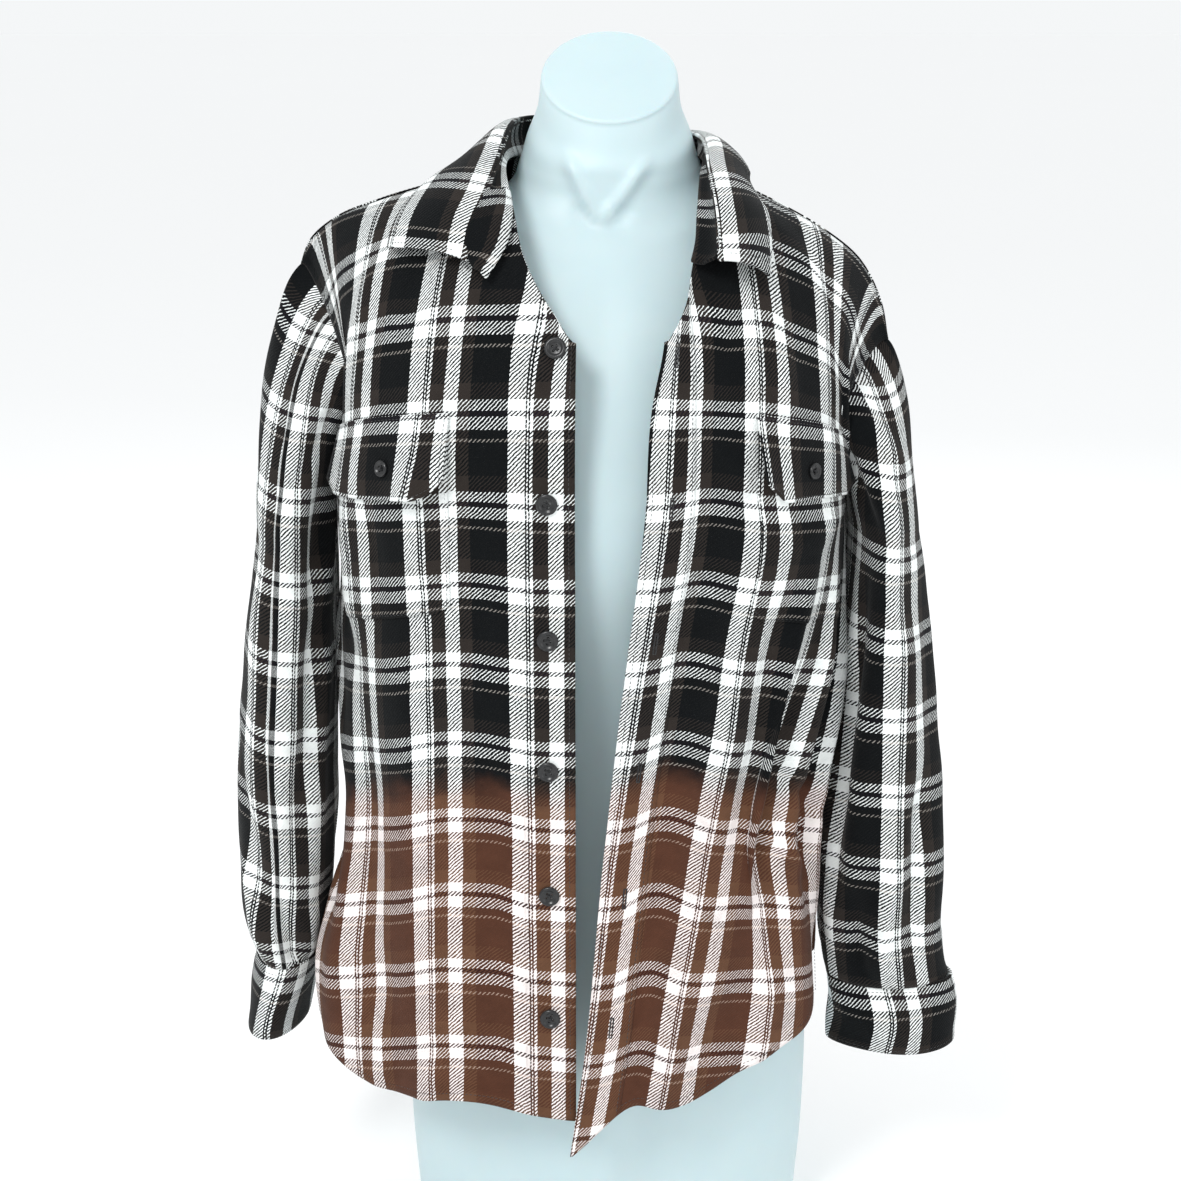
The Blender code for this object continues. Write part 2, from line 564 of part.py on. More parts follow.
def make_sleeve(side):
    """A sleeve, and the placket on the outside of its slit above the cuff."""
    word = "right" if side == RIGHT else "left"
    turns = armhole_turns()
    points = sleeve_points(side, turns, CAP_ROWS, ARM_ROWS)
    first = PLACKET_COLUMN
    if side == LEFT:
        points = points[:, ::-1]
        first = len(turns) - 2 - PLACKET_COLUMN
    cloth(f"sleeve_{word}", points, CHARCOAL, closed=True)
    strip = moved_out(points, 1, closed=True)[-1 - PLACKET_ROWS:, first:first + 2]
    cloth(f"sleeve_placket_{word}", strip, BLACK)


def cuff_points(side, cells, rows):
    """A band that laps over itself at the back, where it buttons."""
    turn = CUFF_OPENS + np.linspace(0, 1 + CUFF_LAP / (2 * math.pi), cells + 1)
    over = ease(CUFF_OPENS + 0.88, CUFF_OPENS + 1.0, turn) * LAYER * CUFF_OVER
    grid = []
    for share in np.linspace(0, 1, rows + 1):
        row = {name: CUFF[side][name][0] * (1 - share) + CUFF[side][name][1] * share
               for name in CUFF[side]}
        ring = tube(side, row, turn)
        centre = np.array([(row["outer"] + row["inner"]) / 2, row["y"], row["z"]])
        away = ring - centre
        grid.append(ring + away / np.linalg.norm(away, axis=-1, keepdims=True) * over[:, None])
    return np.array(grid)


CUFF_CELLS, CUFF_ROWS = 26, 2


def make_cuff(side):
    """A cuff and its button, in the middle of the lap."""
    word = "right" if side == RIGHT else "left"
    points = cuff_points(side, CUFF_CELLS, CUFF_ROWS)
    points = points if side == RIGHT else points[:, ::-1]
    cloth(f"cuff_{word}", points, BLACK)
    column = CUFF_CELLS - 1.5 if side == RIGHT else 1.5
    button_on(f"cuff_button_{word}", points, column, CUFF_ROWS / 2, SMALL_BUTTON_RADIUS)


# ------------------------------------------------------------------ collar
def neckline(side, share):
    """From the centre back (0) by the neck point (0.5) to the stand's front end (1)."""
    back_across = np.clip(share / 0.5, 0, 1) * NECK_ACROSS
    front_across = NECK_ACROSS + (COLLAR_END - NECK_ACROSS) * np.clip((share - 0.5) / 0.5, 0, 1)
    back_share, front_share = back_across / FRONT_WIDTH, front_across / FRONT_WIDTH
    back = body(side, back_share, back_top(back_share), back=True)
    front = body(side, front_share, neckline_down(front_across))
    return np.where((share < 0.5)[:, None], back, front)


def collar_rows(side, share):
    """Neckline, roll and outer edge of the collar on one side."""
    column = {name: curve(COLLAR[side]["share"], COLLAR[side][name], share)
              for name in COLLAR[side]}
    foot = neckline(side, share) + np.array([0, 0, CLOTH + GAP])
    roll = foot + np.stack([side * column["stand_out"], -column["stand_ahead"],
                            column["stand_up"]], -1)
    edge = roll + np.stack([side * column["leaf_out"], -column["leaf_ahead"],
                            column["leaf_up"]], -1)
    return foot, roll, edge


COLLAR_CELLS, STAND_ROWS, LEAF_ROWS = 10, 2, 4
STAND_SPAN = (0.05, 0.93)  # share of the way from roll to neckline that the stand covers


def both_sides(cells):
    """The collar's rows from the wearer's right front end, round the back, to the left."""
    share = np.linspace(0, 1, cells + 1)
    right, left = collar_rows(RIGHT, share), collar_rows(LEFT, share)
    return [np.concatenate([r[::-1], l[1:]]) for r, l in zip(right, left)]


def make_collar():
    """The stand round the neck with its button, and the leaf that folds out over it."""
    foot, roll, edge = both_sides(COLLAR_CELLS)
    steps = np.linspace(*STAND_SPAN, STAND_ROWS + 1)[:, None, None]
    stand = (roll + (foot - roll) * steps)[:, ::-1]
    cloth("collar_stand", stand, BLACK)
    button_on("collar_button", stand, stand.shape[1] - 1.5, STAND_ROWS / 2, SMALL_BUTTON_RADIUS)
    t = np.linspace(0, 1, LEAF_ROWS + 1)[:, None, None]
    over = roll + np.array([0, 0, LEAF_ABOVE])
    leaf = over + (edge - over) * t + np.sin(math.pi * t) * np.array([0, 0, LEAF_CROWN])
    cloth("collar_leaf", leaf[:, ::-1], CHARCOAL)


# ------------------------------------------------------------------ buttons
def make_button(name, place, outward, radius):
    """A turned disc with a sunk middle and a raised rim, sitting on the cloth."""
    dish = BUTTON_THICK * BUTTON_DISH
    profile = [(0.0, dish), (radius * 0.62, dish), (radius * 0.72, BUTTON_THICK),
               (radius * 0.90, BUTTON_THICK), (radius, BUTTON_THICK * 0.65),
               (radius * 0.92, 0.0), (0.0, 0.0)]
    mesh = bpy.data.meshes.new(name)
    mesh.from_pydata([(out, 0.0, up) for out, up in profile],
                     [(i, i + 1) for i in range(len(profile) - 1)], [])
    thing = new_object(name, mesh, BUTTON_BLACK, roughness=0.3)
    turn = thing.modifiers.new("turn", "SCREW")
    turn.steps = turn.render_steps = BUTTON_SIDES
    turn.use_merge_vertices = True
    turn.merge_threshold = 0.0001
    turn.use_smooth_shade = True
    thing.rotation_mode = "QUATERNION"
    thing.rotation_quaternion = Vector(outward).to_track_quat("Z", "Y")
    thing.location = Vector(place)


def seat(grid, column, row):
    """The middle of a grid's cell, or of a line between two cells, and its outward normal."""
    low_c, low_r = math.floor(column), math.floor(row)
    part_c, part_r = column - low_c, row - low_r
    a, b = grid[low_r, low_c], grid[low_r, low_c + 1]
    c, d = grid[low_r + 1, low_c], grid[low_r + 1, low_c + 1]
    upper, lower = a + (b - a) * part_c, c + (d - c) * part_c
    place = upper + (lower - upper) * part_r
    outward = np.cross(c - a + d - b, b - a + d - c)
    return place, outward / np.linalg.norm(outward)


def button_on(name, grid, column, row, radius):
    """A button seated flat on a panel's grid."""
    place, outward = seat(grid, column, row)
    make_button(name, place + outward * (CLOTH / 2 + BUTTON_CLEAR), outward, radius)


def make_front_buttons(lifted, across, down):
    """Six buttons down the middle of the button band."""
    band = block(lifted, across, down, RIGHT, 0.0, BAND_WIDTH)
    for number in range(FRONT_BUTTONS):
        place = FIRST_BUTTON_DOWN + BUTTON_PITCH * number
        row = np.interp(place, (down[:, 0] + down[:, 1]) / 2, np.arange(len(down)))
        button_on(f"button_{number + 1}", band, 0.5, row, BUTTON_RADIUS)


# ------------------------------------------------------------------ display form
def make_form():
    """A torso with no arms or head, closed by a flat base and the sloping cut of the neck."""
    sides, steps = FORM_SIDES, FORM_STEPS
    even = np.linspace(0, 1, len(FORM["z"]))
    heights = curve(even, FORM["z"], np.linspace(0, 1, steps))
    angle = 2 * math.pi * np.arange(sides) / sides
    rings = []
    for z in heights:
        row = {name: curve(FORM["z"], FORM[name], z) for name in FORM}
        tilt = math.radians(row["tilt"])
        depth = np.where(np.sin(angle) < 0, row["front"], row["back"]) * np.sin(angle)
        rings.append(np.stack([FORM_X + row["half_width"] * np.cos(angle),
                               row["y"] + depth * math.cos(tilt),
                               row["z"] + depth * math.sin(tilt)], -1))
    points = np.array(rings).reshape(-1, 3)
    faces = [(r * sides + i, r * sides + (i + 1) % sides, (r + 1) * sides + (i + 1) % sides,
              (r + 1) * sides + i) for r in range(steps - 1) for i in range(sides)]
    faces.append(tuple(range(sides))[::-1])
    faces.append(tuple(range((steps - 1) * sides, steps * sides)))
    mesh = bpy.data.meshes.new("torso_form")
    mesh.from_pydata([tuple(p) for p in points], [], faces)
    mesh.shade_smooth()
    mesh.set_sharp_from_angle(angle=math.radians(40))
    new_object("torso_form", mesh, FORM_WHITE, roughness=0.4)


# ------------------------------------------------------------------ build
for thing in list(bpy.data.objects):
    bpy.data.objects.remove(thing, do_unlink=True)
SHIRT = bpy.data.collections.new("flannel_shirt_on_form")
bpy.context.scene.collection.children.link(SHIRT)

make_form()
for side in (RIGHT, LEFT):
    make_front(side)
    make_sleeve(side)
    make_cuff(side)
make_back()
make_collar()
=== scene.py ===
# %% [markdown]
# # A checked flannel shirt on a display form
# A flannel shirt is sewn from flat pieces of brushed cotton twill. Here each piece is a grid of
# points that bends the way the cloth hangs, and every point remembers where it lay in the flat
# cloth. Everything is in metres, -Y is the front and +X is the wearer's left.

import math

import bmesh
import bpy
import numpy as np
from mathutils import Matrix, Vector


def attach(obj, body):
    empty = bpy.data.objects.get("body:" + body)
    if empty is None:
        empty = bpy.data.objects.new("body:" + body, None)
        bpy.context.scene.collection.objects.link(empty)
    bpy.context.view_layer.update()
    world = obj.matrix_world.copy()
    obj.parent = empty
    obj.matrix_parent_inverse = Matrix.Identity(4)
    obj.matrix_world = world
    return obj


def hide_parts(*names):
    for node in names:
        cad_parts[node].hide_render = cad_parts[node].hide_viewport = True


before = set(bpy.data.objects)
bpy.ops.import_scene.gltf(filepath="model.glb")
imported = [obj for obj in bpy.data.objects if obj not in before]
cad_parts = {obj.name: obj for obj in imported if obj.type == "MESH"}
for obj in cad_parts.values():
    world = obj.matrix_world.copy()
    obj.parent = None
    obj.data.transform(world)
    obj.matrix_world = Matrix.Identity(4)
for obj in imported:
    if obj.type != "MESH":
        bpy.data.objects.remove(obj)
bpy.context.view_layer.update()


# %% [markdown]
# ## The camera and the light
# The camera looks a little down on the shirt. A flannel's nap shows best in wide, soft light, so
# one large lamp stands in front and above, a weaker one fills the other side, and a pale world
# lights the rest.

# %% Camera
IMAGE = 1181              # the picture is square
FOCAL_PIXELS = 2000.0
CAMERA_PLACE = (-0.0105, -1.43, 0.93)
CAMERA_DOWN = 16.0        # degrees below the horizon
SENSOR = 36.0             # millimetres


def placed(name, data):
    """A new object in the scene."""
    thing = bpy.data.objects.new(name, data)
    bpy.context.scene.collection.objects.link(thing)
    return thing


camera = placed("camera", bpy.data.cameras.new("camera"))
camera.data.sensor_width = SENSOR
camera.data.lens = FOCAL_PIXELS / IMAGE * SENSOR
camera.location = CAMERA_PLACE
camera.rotation_euler = (math.radians(90 - CAMERA_DOWN), 0, 0)
bpy.context.scene.camera = camera
print("lens", round(camera.data.lens, 2), "mm")


# %% Lights, world and floor
def lamp(name, place, aim, power, size):
    light = bpy.data.lights.new(name, "AREA")
    light.energy, light.shape, light.size = power, "DISK", size
    thing = placed(name, light)
    thing.location = place
    thing.rotation_euler = (Vector(aim) - Vector(place)).to_track_quat("-Z", "Y").to_euler()


def linear(colour):
    """An sRGB hex colour as linear RGBA."""
    parts = [int(colour[i:i + 2], 16) / 255 for i in (1, 3, 5)]
    return (*[c / 12.92 if c <= 0.04045 else ((c + 0.055) / 1.055) ** 2.4 for c in parts], 1.0)


def plug(tree, node, inputs):
    """Sets a node's inputs: each is a value, an output, or a node whose first output is taken."""
    in_use = [socket for socket in node.inputs if socket.enabled]
    for name, value in inputs.items():
        socket = in_use[name] if isinstance(name, int) else next(
            one for one in in_use if one.name == name)
        if isinstance(value, bpy.types.Node):
            value = next(one for one in value.outputs if one.enabled)
        if isinstance(value, bpy.types.NodeSocket):
            tree.links.new(value, socket)
        else:
            socket.default_value = value


def add(tree, kind, inputs=(), **settings):
    """Adds a node with its settings and what goes into it."""
    made = tree.nodes.new(kind)
    for name, value in settings.items():
        setattr(made, name, value)
    plug(tree, made, dict(inputs))
    return made


MIDDLE = (-0.01, 0.0, 0.48)
lamp("key", (-1.0, -1.8, 2.2), MIDDLE, 34, 0.8)
lamp("fill", (1.9, -1.5, 1.2), MIDDLE, 9, 1.6)
lamp("rim", (0.4, 1.9, 1.9), MIDDLE, 10, 1.4)

world = bpy.data.worlds.new("studio")
world.use_nodes = True
world.node_tree.nodes["Background"].inputs["Color"].default_value = linear("#f8fafb")
world.node_tree.nodes["Background"].inputs["Strength"].default_value = 0.97
bpy.context.scene.world = world
bpy.context.scene.view_settings.view_transform = "Standard"    # keeps the check's own contrast


def new_material(name, roughness, **sockets):
    """A material with its Principled shader's plain sockets set; returns it, its tree, its shader."""
    material = bpy.data.materials.new(name)
    material.use_nodes = True
    shader = material.node_tree.nodes["Principled BSDF"]
    shader.inputs["Roughness"].default_value = roughness
    for socket, value in sockets.items():
        shader.inputs[socket.replace("_", " ")].default_value = value
    return material, material.node_tree, shader


FLOOR_HALF = 120.0        # so large that its far edge is the horizon
paper, tree, shader = new_material("matt_backdrop_paper", 0.95, Specular_IOR_Level=0.2)
grain = add(tree, "ShaderNodeTexNoise", {"Scale": 60.0, "Detail": 3.0})
tone = add(tree, "ShaderNodeMapRange", {"Value": grain, "To Min": 0.992, "To Max": 1.0})
paint = add(tree, "ShaderNodeMix", {"Factor": 1.0, "A": linear("#ffffff"), "B": tone},
            data_type="RGBA", blend_type="MULTIPLY")
plug(tree, shader, {"Base Color": paint})
floor_mesh = bpy.data.meshes.new("floor")
floor_mesh.from_pydata([(-FLOOR_HALF, -FLOOR_HALF, 0), (FLOOR_HALF, -FLOOR_HALF, 0),
                        (FLOOR_HALF, FLOOR_HALF, 0), (-FLOOR_HALF, FLOOR_HALF, 0)], [], [(0, 1, 2, 3)])
floor_mesh.materials.append(paper)
floor = placed("floor", floor_mesh)
print("stage ready")

# %% [markdown]
# ## How the cloth hangs
# A place on the body is given in cloth distances: `across` from a front's edge round to the side
# seam, and `down` from where the shoulder meets the neck. Level lines of the body are measured
# at six depths, and everything between is read off smooth curves. Above the underarm the cloth
# rounds over chest and shoulder blades to the shoulder seam.

# %% Sizes of the shirt
FRONT_WIDTH = 0.290       # one front, from its edge to the side seam
BAND_WIDTH = 0.035
NECK_ACROSS = 0.090       # front edge to the neck point
NECK_DOWN = 0.165
NECK_ROUND = 1.35
BACK_NECK_DOWN = 0.022
SHOULDER_SLOPE = 0.28
CHEST_DOWN = 0.265        # the underarm line
YOKE_DOWN = 0.100
HOLD_ACROSS = 0.215       # columns further out close up, to follow armhole and side
SIDE_LEAST = 0.030
CLOTH = 0.0010            # one layer of brushed twill
RIGHT, LEFT = -1, 1       # the wearer's sides, as the sign of x
MIDDLE_X = -0.011


def table(columns, rows):
    """Names the columns of a short table."""
    return dict(zip(columns.split(), np.array(rows, dtype=float).T))


BODY = table("down z sag back_sag right left front back square", [
    (0.265, 0.620, 0.020, 0.000, -0.1945, 0.173, -0.135, 0.112, 2.5),
    (0.420, 0.470, 0.034, 0.004, -0.194, 0.171, -0.133, 0.112, 2.4),
    (0.530, 0.364, 0.046, 0.010, -0.198, 0.160, -0.131, 0.116, 2.4),
    (0.620, 0.277, 0.044, 0.012, -0.216, 0.163, -0.133, 0.122, 2.4),
    (0.690, 0.209, 0.040, 0.010, -0.217, 0.167, -0.136, 0.126, 2.4),
    (0.770, 0.132, 0.036, 0.008, -0.206, 0.164, -0.138, 0.128, 2.4),
])
EDGE = {
    RIGHT: table("down x", [(0.10, -0.022), (0.265, -0.022), (0.53, -0.022), (0.77, -0.022)]),
    LEFT: table("down x", [(0.10, 0.036), (0.265, 0.028), (0.42, 0.011), (0.53, 0.000),
                           (0.69, -0.014), (0.77, -0.024)]),
}
LAP_OUT = 0.008
SHOULDER = {
    RIGHT: table("x z", [(-0.068, 0.834), (-0.113, 0.819), (-0.160, 0.805), (-0.190, 0.793),
                         (-0.208, 0.778), (-0.216, 0.762)]),
    LEFT: table("x z", [(0.068, 0.834), (0.096, 0.816), (0.126, 0.801), (0.154, 0.785),
                        (0.180, 0.764), (0.196, 0.735), (0.203, 0.708)]),
}
CHEST_ROUND, BLADE_ROUND = 2.0, 2.3
BLADE_DEPTH = 0.40
NAPE_BACK = 0.055
NECK_LEAN = {RIGHT: 0.60, LEFT: 0.0}
ARMHOLE_HOLLOW = {RIGHT: 0.020, LEFT: 0.014}
ARMHOLE_FRONT, ARMHOLE_BACK = 0.052, 0.060
ARMHOLE = table("rise across", [(0.0, 0.290), (0.15, 0.262), (0.45, 0.238), (0.75, 0.245),
                                (1.0, 0.258)])
HEM = {
    RIGHT: table("share down", [(0.0, 0.743), (0.35, 0.738), (0.62, 0.717), (0.82, 0.668),
                                (1.0, 0.612)]),
    LEFT: table("share down", [(0.0, 0.768), (0.10, 0.744), (0.35, 0.726), (0.55, 0.690),
                               (0.75, 0.650), (1.0, 0.612)]),
}
BACK_HEM = table("share down", [(0.0, 0.612), (0.2, 0.669), (0.6, 0.754), (1.0, 0.772)])
HEM_TURN, HEM_SEAM = 0.007, 0.006   # how deep a hem is turned in, and where it is stitched
# The wearer's left side is caught up at the waist. TUCK says how much cloth goes into that fold
# at each depth, and LEAN how far the grain leans inward near the hem.
TUCK = table("down take", [(0.28, 0.0), (0.345, 0.006), (0.40, 0.019), (0.465, 0.034),
                           (0.52, 0.034), (0.575, 0.018), (0.635, 0.004), (0.68, 0.0)])
TUCK_AT, TUCK_SOFT = 0.130, 0.006
LEAN = table("around in_by", [(0.0, 0.0), (0.04, 0.006), (0.075, 0.0145), (0.10, 0.012),
                              (0.147, 0.009), (0.174, 0.006), (0.30, 0.0), (0.58, 0.0)])
CURL_AT, CURL_WIDE, CURL_OUT = 0.068, 0.024, 0.008   # where a front's hem turns up
FOLDS = {
    RIGHT: table("share wide out starts", [
        (0.10, 0.07, -0.004, 0.45), (0.30, 0.09, 0.007, 0.40), (0.52, 0.08, -0.008, 0.36),
        (0.74, 0.09, 0.008, 0.42), (1.22, 0.09, -0.009, 0.44), (1.42, 0.10, 0.012, 0.34),
        (1.64, 0.10, -0.012, 0.30), (1.86, 0.10, 0.013, 0.38)]),
    LEFT: table("share wide out starts", [
        (0.16, 0.08, 0.006, 0.44), (0.40, 0.09, -0.008, 0.38), (0.62, 0.08, 0.007, 0.40),
        (0.82, 0.07, -0.014, 0.36), (1.18, 0.09, -0.008, 0.40), (1.38, 0.10, 0.012, 0.36),
        (1.60, 0.10, -0.011, 0.42), (1.82, 0.09, 0.009, 0.33)]),
}


# %% Reading the tables
def ease(start, end, at):
    """Runs from 0 to 1 between two values, level at both."""
    share = np.clip((np.asarray(at, dtype=float) - start) / (end - start), 0.0, 1.0)
    return share * share * (3.0 - 2.0 * share)


def curve(stops, values, at):
    """Reads a column between its rows, on a curve with no kinks."""
    at = np.clip(np.asarray(at, dtype=float), stops[0], stops[-1])
    slopes = np.gradient(values, stops)
    row = np.clip(np.searchsorted(stops, at, side="right") - 1, 0, len(stops) - 2)
    span = stops[row + 1] - stops[row]
    t = (at - stops[row]) / span
    return ((1 + 2 * t) * (1 - t) ** 2 * values[row] + t * (1 - t) ** 2 * span * slopes[row]
            + t * t * (3 - 2 * t) * values[row + 1] + t * t * (t - 1) * span * slopes[row + 1])


def read_table(rows, key, at):
    """Every column of a table, read where its key column has the value `at`."""
    return {name: curve(rows[key], rows[name], at) for name in rows}


def power(value, exponent):
    return np.sign(value) * np.abs(value) ** exponent


def at_length(points, share):
    """The place at a share of a polyline's length. points: (..., steps, 3); share: (...)."""
    lengths = np.linalg.norm(np.diff(points, axis=-2), axis=-1)
    run = np.concatenate([np.zeros(lengths.shape[:-1] + (1,)), np.cumsum(lengths, -1)], -1)
    want = share * run[..., -1]
    step = np.clip((run <= want[..., None]).sum(-1) - 1, 0, run.shape[-1] - 2)
    before = np.take_along_axis(run, step[..., None], -1)[..., 0]
    after = np.take_along_axis(run, step[..., None] + 1, -1)[..., 0]
    part = ((want - before) / np.maximum(after - before, 1e-9))[..., None]
    index = step[..., None, None].repeat(3, -1)
    a = np.take_along_axis(points, index, -2)[..., 0, :]
    b = np.take_along_axis(points, index + 1, -2)[..., 0, :]
    return a + (b - a) * part


def length_along(points):
    """Length run along the first axis of a line or a grid of points."""
    steps = np.linalg.norm(np.diff(points, axis=0), axis=-1)
    return np.concatenate([np.zeros_like(steps[:1]), np.cumsum(steps, 0)])


def unit(vectors):
    return vectors / np.linalg.norm(vectors, axis=-1, keepdims=True)


# %% The body's level lines
ARC_STEPS = np.linspace(0.0, 1.0, 49)


def reach_of(side, column):
    return np.abs(column["right" if side == RIGHT else "left"] - MIDDLE_X)


def plan(side, down, angle):
    """A place on a level line; angle runs from the centre front (0) to the centre back (pi)."""
    column = read_table(BODY, "down", down)
    exponent = 2.0 / column["square"]
    sine, cosine = np.sin(angle), np.cos(angle)
    x = MIDDLE_X + side * reach_of(side, column) * power(sine, exponent)
    y = -np.where(cosine > 0, -column["front"], column["back"]) * power(cosine, exponent)
    front_share = np.clip(angle / (math.pi / 2), 0.0, 1.0)
    back_share = np.clip(angle / (math.pi / 2) - 1.0, 0.0, 1.0)
    sag = column["sag"] * front_share ** 1.6
    sag = sag + (column["back_sag"] - column["sag"]) * ease(0, 1, back_share)
    return np.stack([x, y, column["z"] - sag], -1)


def edge_angle(side, down):
    """Where a front's edge lies on its level line."""
    x = curve(EDGE[side]["down"], EDGE[side]["x"], down)
    column = read_table(BODY, "down", down)
    return np.arcsin(power((x - MIDDLE_X) * side / reach_of(side, column), column["square"] / 2))


def level(side, share, down):
    """share: 0 at the front edge, 1 at the side seam, 2 at the centre back."""
    share, down = np.broadcast_arrays(share, down)
    start = np.where(share <= 1, edge_angle(side, down), math.pi / 2)
    end = np.where(share <= 1, math.pi / 2, math.pi)
    angles = start[..., None] + (end - start)[..., None] * ARC_STEPS
    line = plan(side, down[..., None], angles)
    length = np.linalg.norm(np.diff(line, axis=-2), axis=-1).sum(-1)
    across = share * FRONT_WIDTH
    hold = np.minimum(HOLD_ACROSS, length - SIDE_LEAST)
    outer = hold + (across - HOLD_ACROSS) / (FRONT_WIDTH - HOLD_ACROSS) * (length - hold)
    front = np.where(across < HOLD_ACROSS, across * hold / HOLD_ACROSS, outer) / length
    return at_length(line, np.where(share <= 1, front, share - 1))


def drawn_in(side, around, down):
    """How far cloth on the wearer's left lies in front of its even place."""
    if side == RIGHT:
        return 0.0 * around * down
    taken = curve(TUCK["down"], TUCK["take"], down) / (1 + np.exp((TUCK_AT - around) / TUCK_SOFT))
    taken = taken * (1 - ease(0.29, 0.42, around))
    lean = curve(LEAN["around"], LEAN["in_by"], around) * ease(0.42, 0.72, down)
    slack = 0.010 * np.exp(-((around - 0.125) / 0.06) ** 2 - ((down - 0.305) / 0.04) ** 2)
    return taken + lean - slack * ease(CHEST_DOWN - 0.01, CHEST_DOWN + 0.02, down)


def fold_out(side, share, down):
    """How far the large folds push the cloth out."""
    out = np.zeros(np.broadcast(share, down).shape)
    for crest, wide, height, starts in zip(*FOLDS[side].values()):
        out = out + height * np.exp(-((share - crest) / wide) ** 2) * ease(starts, 0.76, down)
    if side == LEFT:
        out = out + LAP_OUT * (1 - ease(0.05, 0.35, share)) * ease(0.50, 0.70, down)
    return out


# %% Chest and shoulder blades
def across_at(share, rise):
    """Cloth distance from the front edge, narrowed towards the armhole."""
    across = share * FRONT_WIDTH
    limit = curve(ARMHOLE["rise"], ARMHOLE["across"], rise)
    outer = (HOLD_ACROSS + (across - HOLD_ACROSS) * (limit - HOLD_ACROSS)
             / (FRONT_WIDTH - HOLD_ACROSS))
    return np.where(across > HOLD_ACROSS, outer, across)


def shoulder(side, out, back):
    """A place on the shoulder seam, out from the neck point; negative is over the neck."""
    x, z = SHOULDER[side]["x"], SHOULDER[side]["z"]
    run = np.concatenate([[0.0], np.cumsum(np.hypot(np.diff(x), np.diff(z)))])
    beyond = np.minimum(out, 0.0)
    share = np.clip(out, 0.0, None) / (across_at(1.0, 1.0) - NECK_ACROSS)
    lean = abs(x[0] - MIDDLE_X) / NECK_ACROSS if back else NECK_LEAN[side]
    inward = np.clip(1 + beyond / NECK_ACROSS, 0, 1)
    behind = NAPE_BACK * np.sqrt(1 - inward ** 2) if back else 0.0 * beyond
    return np.stack([curve(run, x, share * run[-1]) + side * lean * beyond, behind,
                     curve(run, z, share * run[-1])], -1)


def shoulder_down(across):
    return SHOULDER_SLOPE * np.maximum(across - NECK_ACROSS, 0.0)


def dome(side, share, rise, back):
    """The cloth over chest or shoulder blade: rise is 0 at the underarm line, 1 at the shoulder."""
    share, rise = np.broadcast_arrays(share, rise)
    low = level(side, 2 - share if back else share, np.full(share.shape, CHEST_DOWN))
    top = shoulder(side, across_at(share, 1.0) - NECK_ACROSS, back)
    angle = (math.pi / 2) * ARC_STEPS
    exponent = 2.0 / (BLADE_ROUND if back else CHEST_ROUND)
    flat = power(np.cos(angle), exponent)[:, None]
    high = power(np.sin(angle), exponent)[:, None]
    if back:
        usual = np.cumsum(np.hypot(np.diff(flat[:, 0]) * BLADE_DEPTH, np.diff(high[:, 0])))
        step = np.interp(rise, np.append(0, usual) / usual[-1], angle)[..., None]
        place = low + (top - low) * (1 - power(np.cos(step), exponent))
        place[..., 2] = low[..., 2] + (top - low)[..., 2] * power(np.sin(step), exponent)[..., 0]
    else:
        line = top[..., None, :] + (low - top)[..., None, :] * flat
        line[..., 2] = low[..., None, 2] + (top - low)[..., None, 2] * high[:, 0]
        place = at_length(line, rise)
    bow = ease(0.45, 1.0, share) * np.sin(math.pi * rise) ** 1.6
    place[..., 0] -= side * ARMHOLE_HOLLOW[side] * bow
    place[..., 1] += (ARMHOLE_BACK if back else -ARMHOLE_FRONT) * bow
    return place


def neckline_down(across):
    share = np.clip(across / NECK_ACROSS, 0.0, 1.0)
    return NECK_DOWN * (1 - share ** NECK_ROUND) ** (1 / NECK_ROUND)


def front_top(share):
    """Cloth depth of a front's upper edge: the neckline, then the shoulder seam."""
    across = across_at(share, 1.0)
    return np.where(across < NECK_ACROSS, neckline_down(share * FRONT_WIDTH), shoulder_down(across))


def back_top(share):
    across = across_at(share, 1.0)
    neck = BACK_NECK_DOWN * np.sqrt(np.clip(1 - (across / NECK_ACROSS) ** 2, 0.0, 1.0))
    return np.where(across < NECK_ACROSS, neck, shoulder_down(across))


def front_hem(side, share):
    """Cloth depth of a front's lower edge."""
    return curve(HEM[side]["share"], HEM[side]["down"], share)


def back_hem(share):
    """Cloth depth of the back's lower edge; its table starts at the side seam."""
    return curve(BACK_HEM["share"], BACK_HEM["down"], 1 - share)
